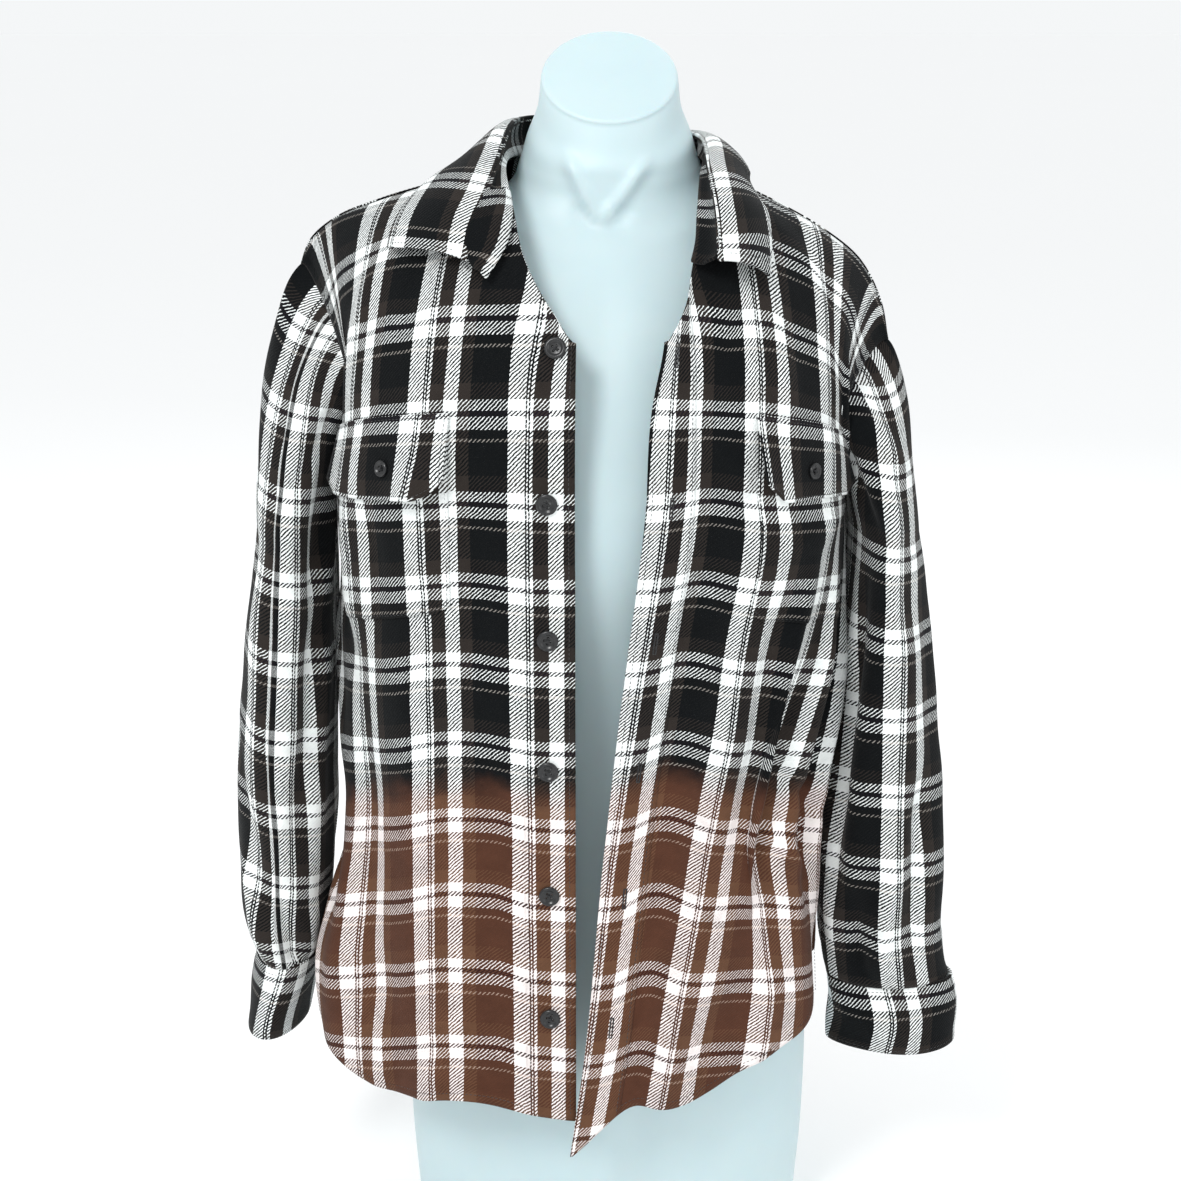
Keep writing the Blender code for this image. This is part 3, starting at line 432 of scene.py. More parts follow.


# %% [markdown]
# ## Creases
# The big folds come from the body's sizes. The smaller ones are listed one by one: each row of a table
# is one crease, from one place of the flat cloth to another, with its half width and how high its
# ridge stands (a trough is negative). `bow` bends it sideways, and each fades in and out, because
# a straight, even fold looks ironed. A drifting ripple of under a millimetre roughens the rest.

# %% Creases listed one by one
CREASE_COLUMNS = "across down across_end down_end wide high bow"
CREASES = {
    (RIGHT, False): table(CREASE_COLUMNS, [
        (0.062, 0.44, 0.052, 0.76, 0.015, -0.0050, 0.004),
        (0.036, 0.52, 0.032, 0.77, 0.013, 0.0030, -0.003),
        (0.132, 0.36, 0.118, 0.66, 0.017, 0.0035, 0.006),
        (0.170, 0.38, 0.150, 0.72, 0.015, -0.0055, -0.008),
        (0.268, 0.28, 0.180, 0.40, 0.013, -0.0050, 0.006),
        (0.285, 0.33, 0.215, 0.47, 0.011, 0.0048, 0.006),
        (0.276, 0.40, 0.205, 0.60, 0.012, -0.0055, -0.008),
        (0.250, 0.52, 0.235, 0.68, 0.011, 0.0060, 0.005),
        (0.200, 0.50, 0.205, 0.70, 0.013, 0.0040, 0.004),
        (0.150, 0.09, 0.215, 0.20, 0.014, 0.0030, -0.006),
        (0.118, 0.06, 0.128, 0.17, 0.012, -0.0028, 0.004),
        (0.205, 0.12, 0.225, 0.23, 0.010, -0.0045, 0.005),
        (0.100, 0.24, 0.108, 0.34, 0.012, 0.0035, 0.002),
        (0.150, 0.27, 0.148, 0.37, 0.010, -0.0030, 0.003),
        (0.178, 0.26, 0.186, 0.36, 0.009, 0.0032, -0.003),
        (0.020, 0.20, 0.070, 0.26, 0.014, -0.0016, 0.004),
        (0.058, 0.28, 0.074, 0.40, 0.012, -0.0024, 0.003),
        (0.100, 0.70, 0.120, 0.76, 0.012, 0.0050, 0.002),
        (0.150, 0.66, 0.160, 0.74, 0.012, 0.0046, 0.002),
    ]),
    (LEFT, False): table(CREASE_COLUMNS, [
        (0.060, 0.30, 0.056, 0.62, 0.014, 0.0038, 0.004),
        (0.034, 0.34, 0.030, 0.70, 0.010, -0.0028, 0.002),
        (0.112, 0.33, 0.104, 0.56, 0.008, -0.0060, 0.004),
        (0.136, 0.31, 0.128, 0.57, 0.009, 0.0095, 0.003),
        (0.160, 0.36, 0.154, 0.60, 0.009, -0.0060, 0.004),
        (0.182, 0.31, 0.180, 0.62, 0.010, 0.0080, -0.004),
        (0.206, 0.36, 0.204, 0.60, 0.009, -0.0075, 0.004),
        (0.228, 0.31, 0.232, 0.61, 0.010, 0.0085, 0.005),
        (0.252, 0.40, 0.256, 0.64, 0.009, -0.0075, -0.004),
        (0.276, 0.44, 0.272, 0.64, 0.009, 0.0060, 0.003),
        (0.150, 0.455, 0.235, 0.500, 0.007, -0.0045, 0.004),
        (0.140, 0.500, 0.215, 0.560, 0.007, 0.0045, -0.005),
        (0.100, 0.30, 0.180, 0.275, 0.010, 0.0030, 0.004),
        (0.214, 0.12, 0.206, 0.275, 0.006, 0.0060, 0.002),
        (0.228, 0.12, 0.222, 0.275, 0.009, -0.0110, 0.002),
        (0.096, 0.10, 0.116, 0.24, 0.012, 0.0026, -0.003),
        (0.070, 0.10, 0.060, 0.26, 0.012, -0.0022, 0.003),
        (0.150, 0.05, 0.190, 0.16, 0.013, -0.0034, -0.006),
        (0.110, 0.64, 0.095, 0.74, 0.014, -0.0044, 0.003),
        (0.150, 0.62, 0.146, 0.72, 0.012, 0.0040, 0.003),
    ]),
    (RIGHT, True): table(CREASE_COLUMNS, [
        (0.215, 0.13, 0.150, 0.25, 0.015, -0.0046, 0.008),
        (0.244, 0.19, 0.165, 0.34, 0.013, 0.0050, 0.010),
        (0.262, 0.27, 0.175, 0.43, 0.013, -0.0055, 0.012),
        (0.070, 0.12, 0.082, 0.40, 0.018, 0.0040, -0.006),
        (0.108, 0.22, 0.122, 0.56, 0.016, -0.0050, 0.008),
        (0.028, 0.30, 0.040, 0.66, 0.018, -0.0042, 0.006),
        (0.276, 0.38, 0.206, 0.55, 0.012, 0.0056, -0.008),
        (0.150, 0.45, 0.160, 0.71, 0.015, 0.0052, 0.005),
        (0.240, 0.46, 0.225, 0.66, 0.012, -0.0056, 0.006),
        (0.070, 0.52, 0.078, 0.74, 0.016, 0.0050, -0.004),
    ]),
    (LEFT, True): table(CREASE_COLUMNS, [
        (0.205, 0.12, 0.140, 0.22, 0.014, -0.0042, 0.007),
        (0.238, 0.18, 0.150, 0.36, 0.014, 0.0052, 0.012),
        (0.266, 0.25, 0.190, 0.40, 0.012, -0.0056, 0.008),
        (0.050, 0.14, 0.060, 0.46, 0.017, -0.0040, 0.006),
        (0.096, 0.20, 0.086, 0.50, 0.016, 0.0042, -0.008),
        (0.128, 0.36, 0.134, 0.66, 0.015, -0.0052, 0.006),
        (0.272, 0.40, 0.214, 0.60, 0.012, 0.0058, -0.006),
        (0.180, 0.44, 0.184, 0.70, 0.014, 0.0054, 0.004),
        (0.232, 0.50, 0.236, 0.66, 0.011, -0.0050, -0.005),
        (0.036, 0.56, 0.030, 0.75, 0.015, 0.0044, 0.004),
    ]),
}
# How the cross threads are pulled up over the chest and hang lower beside it. LIFT_ACROSS says
# where the pull is strongest, and how wide it is.
LIFT_ACROSS = {RIGHT: (0.087, 0.044), LEFT: (0.046, 0.024)}
LIFT = {
    RIGHT: table("down lift", [(0.20, 0.0), (0.27, 0.003), (0.33, 0.006), (0.45, 0.009),
                               (0.57, 0.014), (0.76, 0.014)]),
    LEFT: table("down lift", [(0.20, 0.002), (0.27, 0.005), (0.33, 0.007), (0.45, 0.010),
                              (0.57, 0.014), (0.76, 0.012)]),
}


def crease_out(rows, across, down):
    """Height of the creases at a place of the flat cloth."""
    out = np.zeros(np.broadcast(across, down).shape)
    for a0, d0, a1, d1, wide, high, bow in zip(*rows.values()):
        run_a, run_d = a1 - a0, d1 - d0
        length = math.hypot(run_a, run_d)
        along = ((across - a0) * run_a + (down - d0) * run_d) / length ** 2
        off = ((down - d0) * run_a - (across - a0) * run_d) / length
        off = off - bow * np.sin(math.pi * np.clip(along, 0, 1))
        fade = ease(-0.12, 0.30, along) * (1 - ease(0.62, 1.12, along))
        out = out + high * np.exp(-(off / wide) ** 2) * fade
    return out


RIPPLES = table("along_across along_down phase high", [   # waves to the metre
    (61.0, 17.0, 0.4, 0.00040), (-38.0, 45.0, 2.1, 0.00045), (23.0, -71.0, 4.4, 0.00030),
    (97.0, 52.0, 1.2, 0.00018), (-84.0, 91.0, 5.3, 0.00016), (13.0, 118.0, 3.3, 0.00014)])


def ripple_out(across, down, seed):
    out = np.zeros(np.broadcast(across, down).shape)
    for by_across, by_down, phase, high in zip(*RIPPLES.values()):
        out = out + high * np.sin(by_across * across + by_down * down + phase + seed)
    return out


# How far the neckline is drawn in towards the neck of the form, by distance across.
NECK_IN = {
    RIGHT: table("across in_x", [(0.0, 0.0), (0.01, 0.003), (0.02, 0.006), (0.035, 0.0065),
                                 (0.05, 0.007), (0.07, 0.0095), (0.082, 0.005), (0.09, 0.0),
                                 (0.12, 0.0)]),
    LEFT: table("across in_x", [(0.0, -0.006), (0.015, -0.001), (0.030, 0.004),
                                (0.045, 0.011), (0.058, 0.0145), (0.070, 0.0160),
                                (0.082, 0.009), (0.09, 0.0), (0.12, 0.0)]),
}


HALF_WIDE, HALF_DEEP = 0.19, 0.13  # the body's, for the way out of the cloth
ROUND_FROM, ROUND_OVER = 0.64, 0.20   # heights over which that way turns upward
ROUND_UP = 60             # how strongly it does
NECK_FADE = 0.035         # cloth depth in which the neckline's pull dies away


def body(side, across, down, back=False):
    """The body's cloth. For the back, across is 0 at its centre."""
    across, down = np.broadcast_arrays(np.asarray(across, float), np.asarray(down, float))
    share = across / FRONT_WIDTH
    ring_share = 2 - share if back else share
    ring_share = ring_share - drawn_in(side, ring_share * FRONT_WIDTH, down) / FRONT_WIDTH
    low = level(side, ring_share, np.maximum(down, CHEST_DOWN))
    outward = unit(np.stack([(low[..., 0] - MIDDLE_X) / HALF_WIDE ** 2,
                             low[..., 1] / HALF_DEEP ** 2, np.zeros(share.shape)], -1))
    low = low + outward * fold_out(side, ring_share, down)[..., None]
    top_down = shoulder_down(across_at(share, 1.0))
    rise = np.clip((CHEST_DOWN - down) / (CHEST_DOWN - top_down), 0.0, 1.0)
    place = np.where((down < CHEST_DOWN)[..., None], dome(side, share, rise, back), low)
    up = np.clip((place[..., 2] - ROUND_FROM) / ROUND_OVER, 0, 1) ** 2 * ROUND_UP
    away = np.stack([(place[..., 0] - MIDDLE_X) / HALF_WIDE ** 2,
                     place[..., 1] / HALF_DEEP ** 2, up], -1)
    away /= np.maximum(np.linalg.norm(away, axis=-1, keepdims=True), 1e-9)
    high = crease_out(CREASES[side, back], across, down)
    high = high + ripple_out(across, down, side + 2.0 * back)
    near_seam = ease(0, 0.02, down - (back_top(share) if back else front_top(share)))
    place = place + away * (high * near_seam)[..., None]
    if not back:
        below = np.clip(down - front_top(share), 0, None)
        drawn = curve(NECK_IN[side]["across"], NECK_IN[side]["in_x"], across)
        place[..., 0] -= side * drawn * np.exp(-(below / NECK_FADE) ** 2)
        crest, wide = LIFT_ACROSS[side]
        lift = curve(LIFT[side]["down"], LIFT[side]["lift"], down)
        place[..., 2] += lift * np.exp(-((across - crest) / wide) ** 2) * ease(0.18, 0.24, down)
        if side == RIGHT:
            hem = front_hem(side, share)
            curl = CURL_OUT * np.exp(-((across - CURL_AT) / CURL_WIDE) ** 2) * ease(
                -0.026, 0.004, down - hem)
            place = place + curl[..., None] * [0.0, -1.0, 1.1]
    return place


print("creases laid by hand:", sum(len(rows["wide"]) for rows in CREASES.values()))

# %% [markdown]
# ## The check
# A yarn-dyed check has its colours in the threads: stripes of warp threads run down the cloth and
# stripes of weft threads run across. In a 2/2 twill each thread passes over two and under two, one
# step further on in every row, which gives diagonal lines. So the material looks up the warp's
# colour and the weft's colour, and a diagonal mask shows one or the other. Where white crosses
# white it is solid, and where white crosses black it is hatched.
# The lower body was dipped in bleach, which turned the black yarn rust brown.

# %% Yarns
YARNS = {                 # as dyed, and as the bleach left them
    "black": ("#080b0d", "#4f3124"),
    "charcoal": ("#2b2623", "#614331"),
    "plum": ("#17121b", "#331a18"),
    "grey": ("#8e8983", "#a58e80"),
    "white": ("#f0f4f3", "#f2eae8"),
}
# One repeat in millimetres: where each stripe starts, and its yarn.
WARP = [(0, "white"), (10, "charcoal"), (19, "black"), (45, "white"), (57, "black"),
        (58.1, "white"), (59.1, "black"), (60.2, "white"), (62, "charcoal")]
WARP_REPEAT = 72.8
WEFT = [(0, "white"), (7, "plum"), (10.7, "white"), (19.2, "black"), (25.2, "grey"),
        (27.4, "black"), (49.7, "charcoal")]
WEFT_REPEAT = 60.5
WEFT_START = 0.1391       # cloth depth at which a weft repeat starts on the fronts
TWILL_PITCH = 2.1         # real flannel's is 1.2 to 1.7 mm; coarser here, so that it shows
WARP_SHARE = 0.62         # of the face that the warp covers
SHADED_GROOVE = 0.12             # half width of the groove between two floats, painted with shade, as a share of the pitch
BLEACH_DOWN = (0.458, 0.486)   # cloth depths between which the bleach takes over
MM = 0.001


def stripes(tree, place, chart, repeat, state):
    """A colour ramp with one hard-edged stop for each stripe of a chart."""
    ramp = add(tree, "ShaderNodeValToRGB", {"Fac": place})
    ramp.color_ramp.interpolation = "CONSTANT"
    stops = ramp.color_ramp.elements
    stops.remove(stops[1])
    stops[0].color = linear(YARNS[chart[0][1]][state])
    for start, yarn in chart[1:]:
        stops.new(start / repeat).color = linear(YARNS[yarn][state])
    return ramp


def wave(tree, value, repeat, shift=0.0):
    """value in metres as a share of its repeat, in millimetres, moved on by shift."""
    turns = add(tree, "ShaderNodeMath", {0: value, 1: 1 / (repeat * MM), 2: shift},
                operation="MULTIPLY_ADD")
    return add(tree, "ShaderNodeMath", {0: turns}, operation="FRACT")


def noise(tree, place, scale, low, high, detail=2.0, edge=0.0):
    """Soft noise, read out between two numbers."""
    cloud = add(tree, "ShaderNodeTexNoise",
                {"Vector": place, "Scale": scale, "Detail": detail, "Roughness": 0.6})
    return add(tree, "ShaderNodeMapRange", {"Value": cloud, "From Min": edge, "From Max": 1 - edge,
                                            "To Min": low, "To Max": high})


def flannel(name, bleached):
    """Brushed cotton twill: matt, with a soft bloom at glancing angles from its raised nap."""
    material, tree, shader = new_material(
        name, 0.92, Sheen_Weight=0.05, Sheen_Roughness=0.5, Specular_IOR_Level=0.08)
    weave = add(tree, "ShaderNodeAttribute", attribute_name="weave").outputs["Vector"]
    flat = add(tree, "ShaderNodeSeparateXYZ", {"Vector": weave})
    drift = noise(tree, weave, 150.0, -0.0006, 0.0006)
    across = add(tree, "ShaderNodeMath", {0: flat.outputs["X"], 1: drift})
    down = add(tree, "ShaderNodeMath", {0: flat.outputs["Y"], 1: drift})

    # Twill lines, with the nap pulling them about.
    pull = noise(tree, weave, 900.0, -0.26, 0.26, detail=3.0)
    slant = add(tree, "ShaderNodeMath", {0: across, 1: down})
    line = wave(tree, slant, TWILL_PITCH * math.sqrt(2), pull)
    peak = add(tree, "ShaderNodeMath", {0: line, 1: 0.5}, operation="PINGPONG")
    over = add(tree, "ShaderNodeMapRange",
               {"Value": peak, "From Min": WARP_SHARE / 2 - 0.035,
                "From Max": WARP_SHARE / 2 + 0.035}, interpolation_type="SMOOTHSTEP")

    warp_place, weft_place = wave(tree, across, WARP_REPEAT), wave(tree, down, WEFT_REPEAT)
    warp = stripes(tree, warp_place, WARP, WARP_REPEAT, 0)
    weft = stripes(tree, weft_place, WEFT, WEFT_REPEAT, 0)
    if bleached:
        creep = noise(tree, weave, 30.0, -0.016, 0.016, detail=4.0)
        depth = add(tree, "ShaderNodeMath", {0: flat.outputs["Z"], 1: creep})
        taken = add(tree, "ShaderNodeMapRange",
                    {"Value": depth, "From Min": BLEACH_DOWN[0], "From Max": BLEACH_DOWN[1]},
                    interpolation_type="SMOOTHSTEP")
        pale_warp = stripes(tree, warp_place, WARP, WARP_REPEAT, 1)
        pale_weft = stripes(tree, weft_place, WEFT, WEFT_REPEAT, 1)
        warp = add(tree, "ShaderNodeMix", {"Factor": taken, "A": warp, "B": pale_warp},
                   data_type="RGBA")
        weft = add(tree, "ShaderNodeMix", {"Factor": taken, "A": weft, "B": pale_weft},
                   data_type="RGBA")
    floats = add(tree, "ShaderNodeMix", {"Factor": over, "A": warp, "B": weft}, data_type="RGBA")
    # Painted shade: in the groove between two floats the colour turns to the darker of the two yarns,
    # as if shadowed.
    aside = add(tree, "ShaderNodeMath", {0: peak, 1: WARP_SHARE / 2}, operation="SUBTRACT")
    aside = add(tree, "ShaderNodeMath", {0: aside}, operation="ABSOLUTE")
    raised = add(tree, "ShaderNodeMapRange", {"Value": aside, "From Max": SHADED_GROOVE})
    groove_shade = add(tree, "ShaderNodeMix", {"Factor": 1.0, "A": warp, "B": weft},
                 data_type="RGBA", blend_type="DARKEN")
    woven = add(tree, "ShaderNodeMix", {"Factor": raised, "A": groove_shade, "B": floats},
                data_type="RGBA")

    # Uneven dye and wear in patches of some centimetres, and single pale fibres on the nap.
    worn = add(tree, "ShaderNodeMix",
               {"Factor": 1.0, "A": woven, "B": noise(tree, weave, 55.0, 0.82, 1.10, 5.0, 0.25)},
               data_type="RGBA", blend_type="MULTIPLY")
    fuzz = noise(tree, weave, 1700.0, -0.11, 0.09, detail=3.0)
    fuzzy = add(tree, "ShaderNodeMix", {"Factor": fuzz, "A": worn, "B": linear("#a29b95")},
                data_type="RGBA")
    thread = add(tree, "ShaderNodeMath", {0: over, 1: noise(tree, weave, 1300.0, 0.0, 0.9, 3.0)})
    bump = add(tree, "ShaderNodeBump", {"Strength": 0.6, "Distance": 0.0004, "Height": thread})
    plug(tree, shader, {"Base Color": fuzzy, "Normal": bump})
    return material


BODY_FLANNEL = flannel("brushed_cotton_twill_dip_bleached", True)
SLEEVE_FLANNEL = flannel("brushed_cotton_twill", False)
print("check repeats every", WARP_REPEAT, "by", WEFT_REPEAT, "mm")

# %% [markdown]
# ## Making cloth
# A piece is a grid of points: its middle surface. Solidify gives it the thickness of the cloth, so
# that an edge has a real width and the inside shows the check as well. The flat place of each
# point is kept in an attribute named `weave`, which Solidify carries along.


# %% Cloth helpers
def new_object(name, mesh, material, nodes=()):
    """Links a finished piece to the root, gives it its material, and hides the CAD parts it replaces.
    """
    thing = placed(name, mesh)
    if material.name not in mesh.materials:
        mesh.materials.append(material)
    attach(thing, "root")
    if nodes:
        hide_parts(*nodes)
    return thing


def normals(points):
    """Normals of a grid of points (rows, columns, 3)."""
    result = np.cross(np.gradient(points, axis=0), np.gradient(points, axis=1))
    return result / np.maximum(np.linalg.norm(result, axis=-1, keepdims=True), 1e-12)


def grid_mesh(name, points, weave=None, flip=False):
    rows, columns = points.shape[:2]
    corner = np.arange(rows * columns).reshape(rows, columns)
    quads = np.stack([corner[:-1, :-1], corner[1:, :-1], corner[1:, 1:], corner[:-1, 1:]], -1)
    quads = quads.reshape(-1, 4)
    if flip:
        quads = quads[:, ::-1]
    mesh = bpy.data.meshes.new(name)
    mesh.from_pydata(points.reshape(-1, 3).tolist(), [], quads.tolist())
    if weave is not None:
        kept = mesh.attributes.new("weave", "FLOAT_VECTOR", "POINT")
        kept.data.foreach_set("vector", np.asarray(weave, np.float32).reshape(-1))
    mesh.shade_smooth()
    return mesh


def cloth(name, points, weave, flip=False, thick=CLOTH, material=None, nodes=None):
    """A sheet of flannel with the grid of points as its middle surface."""
    mesh = grid_mesh(name, points, weave, flip)
    thing = new_object(name, mesh, material or BODY_FLANNEL,
                       (name,) if nodes is None else nodes)
    wall = thing.modifiers.new("thickness", "SOLIDIFY")
    wall.thickness = thick
    wall.offset = 0.0
    wall.use_even_offset = False
    return thing


def declared(thing, flat, area):
    """States the flat cut of a sheet of cloth."""
    print(f"{thing.name}: cut {flat[0]:.3f} by {flat[1]:.3f} m, {area:.4f} square metres")
    return thing


HEM_STEPS = 3
HEM_UNDER = 0.0013        # how far below the cloth the turned-in part lies
HEM_ROLL = 0.0006         # how far the edge rolls past its last row


def turned_edge(points, weave, flip):
    """Adds a narrow turn-in under the last row, as a hem has."""
    inward = unit(points[-1 - HEM_STEPS] - points[-1])
    under = normals(points)[-1] * (1 if flip else -1)
    rows, flats = [points], [weave]
    for step in range(HEM_STEPS + 1):
        back = HEM_TURN * step / HEM_STEPS
        roll = HEM_ROLL * (step == 0)
        rows.append((points[-1] + under * HEM_UNDER + inward * (back - roll))[None])
        flats.append((weave[-1] - [0, back, 0])[None])
    return np.concatenate(rows), np.concatenate(flats)


def body_weave(side, across, down, back=False, shift=(0.0, 0.0)):
    """Where a place of the body lies in the check: its warp and weft, and its depth in the bleach."""
    if back:
        warp = -side * across + 0.005
    elif side == RIGHT:
        warp = 0.0166 - across
    else:
        warp = across - 0.0296 + 0.031 * (down - 0.20)
    dipped = down - (0.011 if side == RIGHT else 0.005)
    return np.stack([warp + shift[0], down - WEFT_START + shift[1], dipped], -1)


CELL = 0.0036             # size of a panel's cells


def cells(length):
    return max(2, int(round(length / CELL)))


SHEET_LIFT = CLOTH + 0.0002   # a second layer lies this far out

# %% [markdown]
# ## Fronts, bands, pockets and flaps
# Each front is cut in one piece from shoulder to shirt tail. The band along its edge, the patch
# pocket and the flap are separate pieces sewn on top, so each is made from the same places of the
# body, moved out by a layer. The flaps were never pressed flat: their free corners stand away.


# %% Fronts
def side_word(side):
    return "right" if side == RIGHT else "left"


def panel(side, across, down, back=False, lift=0.0, shift=(0.0, 0.0)):
    """A grid on the body's cloth, its flat places, and whether its faces need flipping."""
    across, down = np.broadcast_arrays(across, down)
    points = body(side, across, down, back)
    facing = 1.0 if (side == LEFT) != back else -1.0
    points = points + normals(points) * (facing * np.asarray(lift))[..., None]
    return points, body_weave(side, across, down, back, shift), facing < 0


def make_front(side):
    word = side_word(side)
    across = np.linspace(0, FRONT_WIDTH, cells(FRONT_WIDTH) + 1)
    top = front_top(across / FRONT_WIDTH)
    hem = front_hem(side, across / FRONT_WIDTH)
    run = np.linspace(0, 1, cells(0.62) + 1)[:, None]
    down = top + (hem - top) * run
    seam = 0.0008 * ease(FRONT_WIDTH - 0.010, FRONT_WIDTH - 0.007, across[None] + 0 * down)
    points, weave, flip = panel(side, across[None], down, lift=seam)
    points, weave = turned_edge(points, weave, flip)
    thing = cloth(f"front_{word}", points, weave, flip)
    area = float(np.mean(hem - top) * FRONT_WIDTH)
    return declared(thing, (FRONT_WIDTH, float(hem.max())), area)


def make_band(side):
    """The button band or buttonhole band."""
    word = side_word(side)
    across = np.linspace(-0.0012, BAND_WIDTH, 11)
    share = np.clip(across, 0, None) / FRONT_WIDTH
    top = front_top(share)
    hem = front_hem(side, share) - 0.0004
    down = top + (hem - top) * np.linspace(0, 1, cells(0.6) + 1)[:, None]
    crown = SHEET_LIFT * (1 - 0.8 * ease(BAND_WIDTH - 0.002, BAND_WIDTH, across))
    points, weave, flip = panel(side, across[None], down, lift=np.broadcast_to(crown, down.shape))
    thing = cloth(f"placket_{word}", points, weave, flip, thick=CLOTH * 1.15)
    length = float(np.mean(hem - top))
    return declared(thing, (BAND_WIDTH, length), BAND_WIDTH * length * 0.999)


POCKET = {"inner": 0.085, "outer": 0.198, "bottom": 0.352}
POCKET_CORNER = 0.012
FLAP_TOP, FLAP_LENGTH = 0.208, 0.056
FLAP_CORNER = 0.017
FLAP_COLUMNS, FLAP_ROWS, POCKET_ROWS = 44, 22, 40


def corner_cut(across, inner, outer, cut):
    """How much shorter a piece is at its clipped corners."""
    return np.clip(cut - np.minimum(across - inner, outer - across), 0, None)


def make_pocket(side):
    word = side_word(side)
    inner, outer = POCKET["inner"], POCKET["outer"]
    across = np.linspace(inner, outer, cells(outer - inner) + 1)
    bottom = POCKET["bottom"] - 0.5 * corner_cut(across, inner, outer, POCKET_CORNER)
    run = np.linspace(0, 1, POCKET_ROWS)[:, None]
    down = FLAP_TOP + 0.004 + (bottom - FLAP_TOP - 0.004) * run
    slack = np.sin(math.pi * (across - inner) / (outer - inner))
    gape = 0.0016 * slack[None] * (1 - ease(0.23, 0.31, down))
    puff = 0.0007 * np.sin(math.pi * run) * slack[None]
    points, weave, flip = panel(side, across[None], down, lift=SHEET_LIFT + gape + puff,
                                shift=(0.0012, -0.0010))
    thing = cloth(f"pocket_{word}", points, weave, flip)
    size = (outer - inner, POCKET["bottom"] - FLAP_TOP)
    return declared(thing, size, size[0] * size[1] * 0.98)


# How far the flap's free edge stands out, from its inner edge to its outer one.
FLAP_STANDS = {
    RIGHT: table("share out", [(0.0, 0.0110), (0.22, 0.0140), (0.42, 0.0050), (0.62, 0.0036),
                               (0.82, 0.0046), (1.0, 0.0070)]),
    LEFT: table("share out", [(0.0, 0.0150), (0.14, 0.0120), (0.34, 0.0050), (0.60, 0.0030),
                              (0.84, 0.0034), (1.0, 0.0070)]),
}
FLAP_SHIFT = {RIGHT: (0.0035, -0.0015), LEFT: (0.0020, -0.0018)}


def flap_grid(side):
    inner, outer = POCKET["inner"] - 0.001, POCKET["outer"] + 0.001
    across = np.linspace(inner, outer, FLAP_COLUMNS)
    length = FLAP_LENGTH - corner_cut(across, inner, outer, FLAP_CORNER) * 0.75
    run = np.linspace(0, 1, FLAP_ROWS)[:, None]
    down = FLAP_TOP + length * run
    share = (across - inner) / (outer - inner)
    out = curve(FLAP_STANDS[side]["share"], FLAP_STANDS[side]["out"], share)
    height = SHEET_LIFT * 2 + out * run ** 1.7 + 0.0009 * np.sin(math.pi * run)
    return panel(side, across[None], down, lift=height, shift=FLAP_SHIFT[side])


def make_flap(side):
    word = side_word(side)
    points, weave, flip = flap_grid(side)
    thing = cloth(f"flap_{word}", points, weave, flip, thick=CLOTH * 1.5)
    size = (POCKET["outer"] - POCKET["inner"] + 0.002, FLAP_LENGTH)
    return declared(thing, size, size[0] * size[1] * 0.97)


for side in (RIGHT, LEFT):
    make_front(side)
    make_band(side)
    make_pocket(side)
    make_flap(side)

# %% [markdown]
# ## Back and yoke
# The back hangs from a yoke that crosses the shoulder blades, and the yoke is sewn to the fronts
# on top of the shoulders. The yoke's lower edge is turned in and stitched down over the back.


# %% Back and yoke
BACK_TUCKED = 0.006       # how far the back runs up under the yoke
BACK_LONG, BACK_MEAN = 0.672, 0.63        # its cut's greatest length, and its mean length
YOKE_WIDE, YOKE_FILL = 2 * 0.258, 0.82    # its cut's width, and how much of that oblong it fills
YOKE_WEFT = 0.021         # where the yoke lies in the check
YOKE_ROWS = 26


def back_panel(down_of, lift, rows):
    """A grid from the right side seam, round the back, to the left side seam."""
    halves = []
    for side in (RIGHT, LEFT):
        across = np.linspace(0, FRONT_WIDTH, cells(FRONT_WIDTH) + 1)
        down = down_of(across, np.linspace(0, 1, rows)[:, None])
        points, weave, _ = panel(side, across[None], down, back=True, lift=0 * down + lift)
        halves.append((points, weave))
    (right, right_weave), (left, left_weave) = halves
    return (np.concatenate([right[:, ::-1], left[:, 1:]], 1),
            np.concatenate([right_weave[:, ::-1], left_weave[:, 1:]], 1))


def back_down(across, run):
    hem = back_hem(across / FRONT_WIDTH)
    return YOKE_DOWN - BACK_TUCKED + (hem - YOKE_DOWN + BACK_TUCKED) * run


def yoke_down(across, run):
    top = back_top(across / FRONT_WIDTH)
    return top + (YOKE_DOWN - top) * run


points, weave = back_panel(back_down, 0.0, cells(0.64))
points, weave = turned_edge(points, weave, True)
back = cloth("back", points, weave, flip=True)
declared(back, (2 * FRONT_WIDTH, BACK_LONG), 2 * FRONT_WIDTH * BACK_MEAN)

points, weave = back_panel(yoke_down, SHEET_LIFT, YOKE_ROWS)
weave[..., 1] += YOKE_WEFT
yoke = cloth("yoke", points, weave, flip=True)
declared(yoke, (YOKE_WIDE, YOKE_DOWN), YOKE_WIDE * YOKE_DOWN * YOKE_FILL)
print("back and yoke hang from the shoulders")

# %% [markdown]
# ## Sleeves and cuffs
# A sleeve is a flat piece closed along the underarm, eased into the armhole and gathered a little
# into its cuff. It leaves the armhole along the shoulder's slope, then falls straight. Its grid is
# open along the underarm, where the real one has its seam.

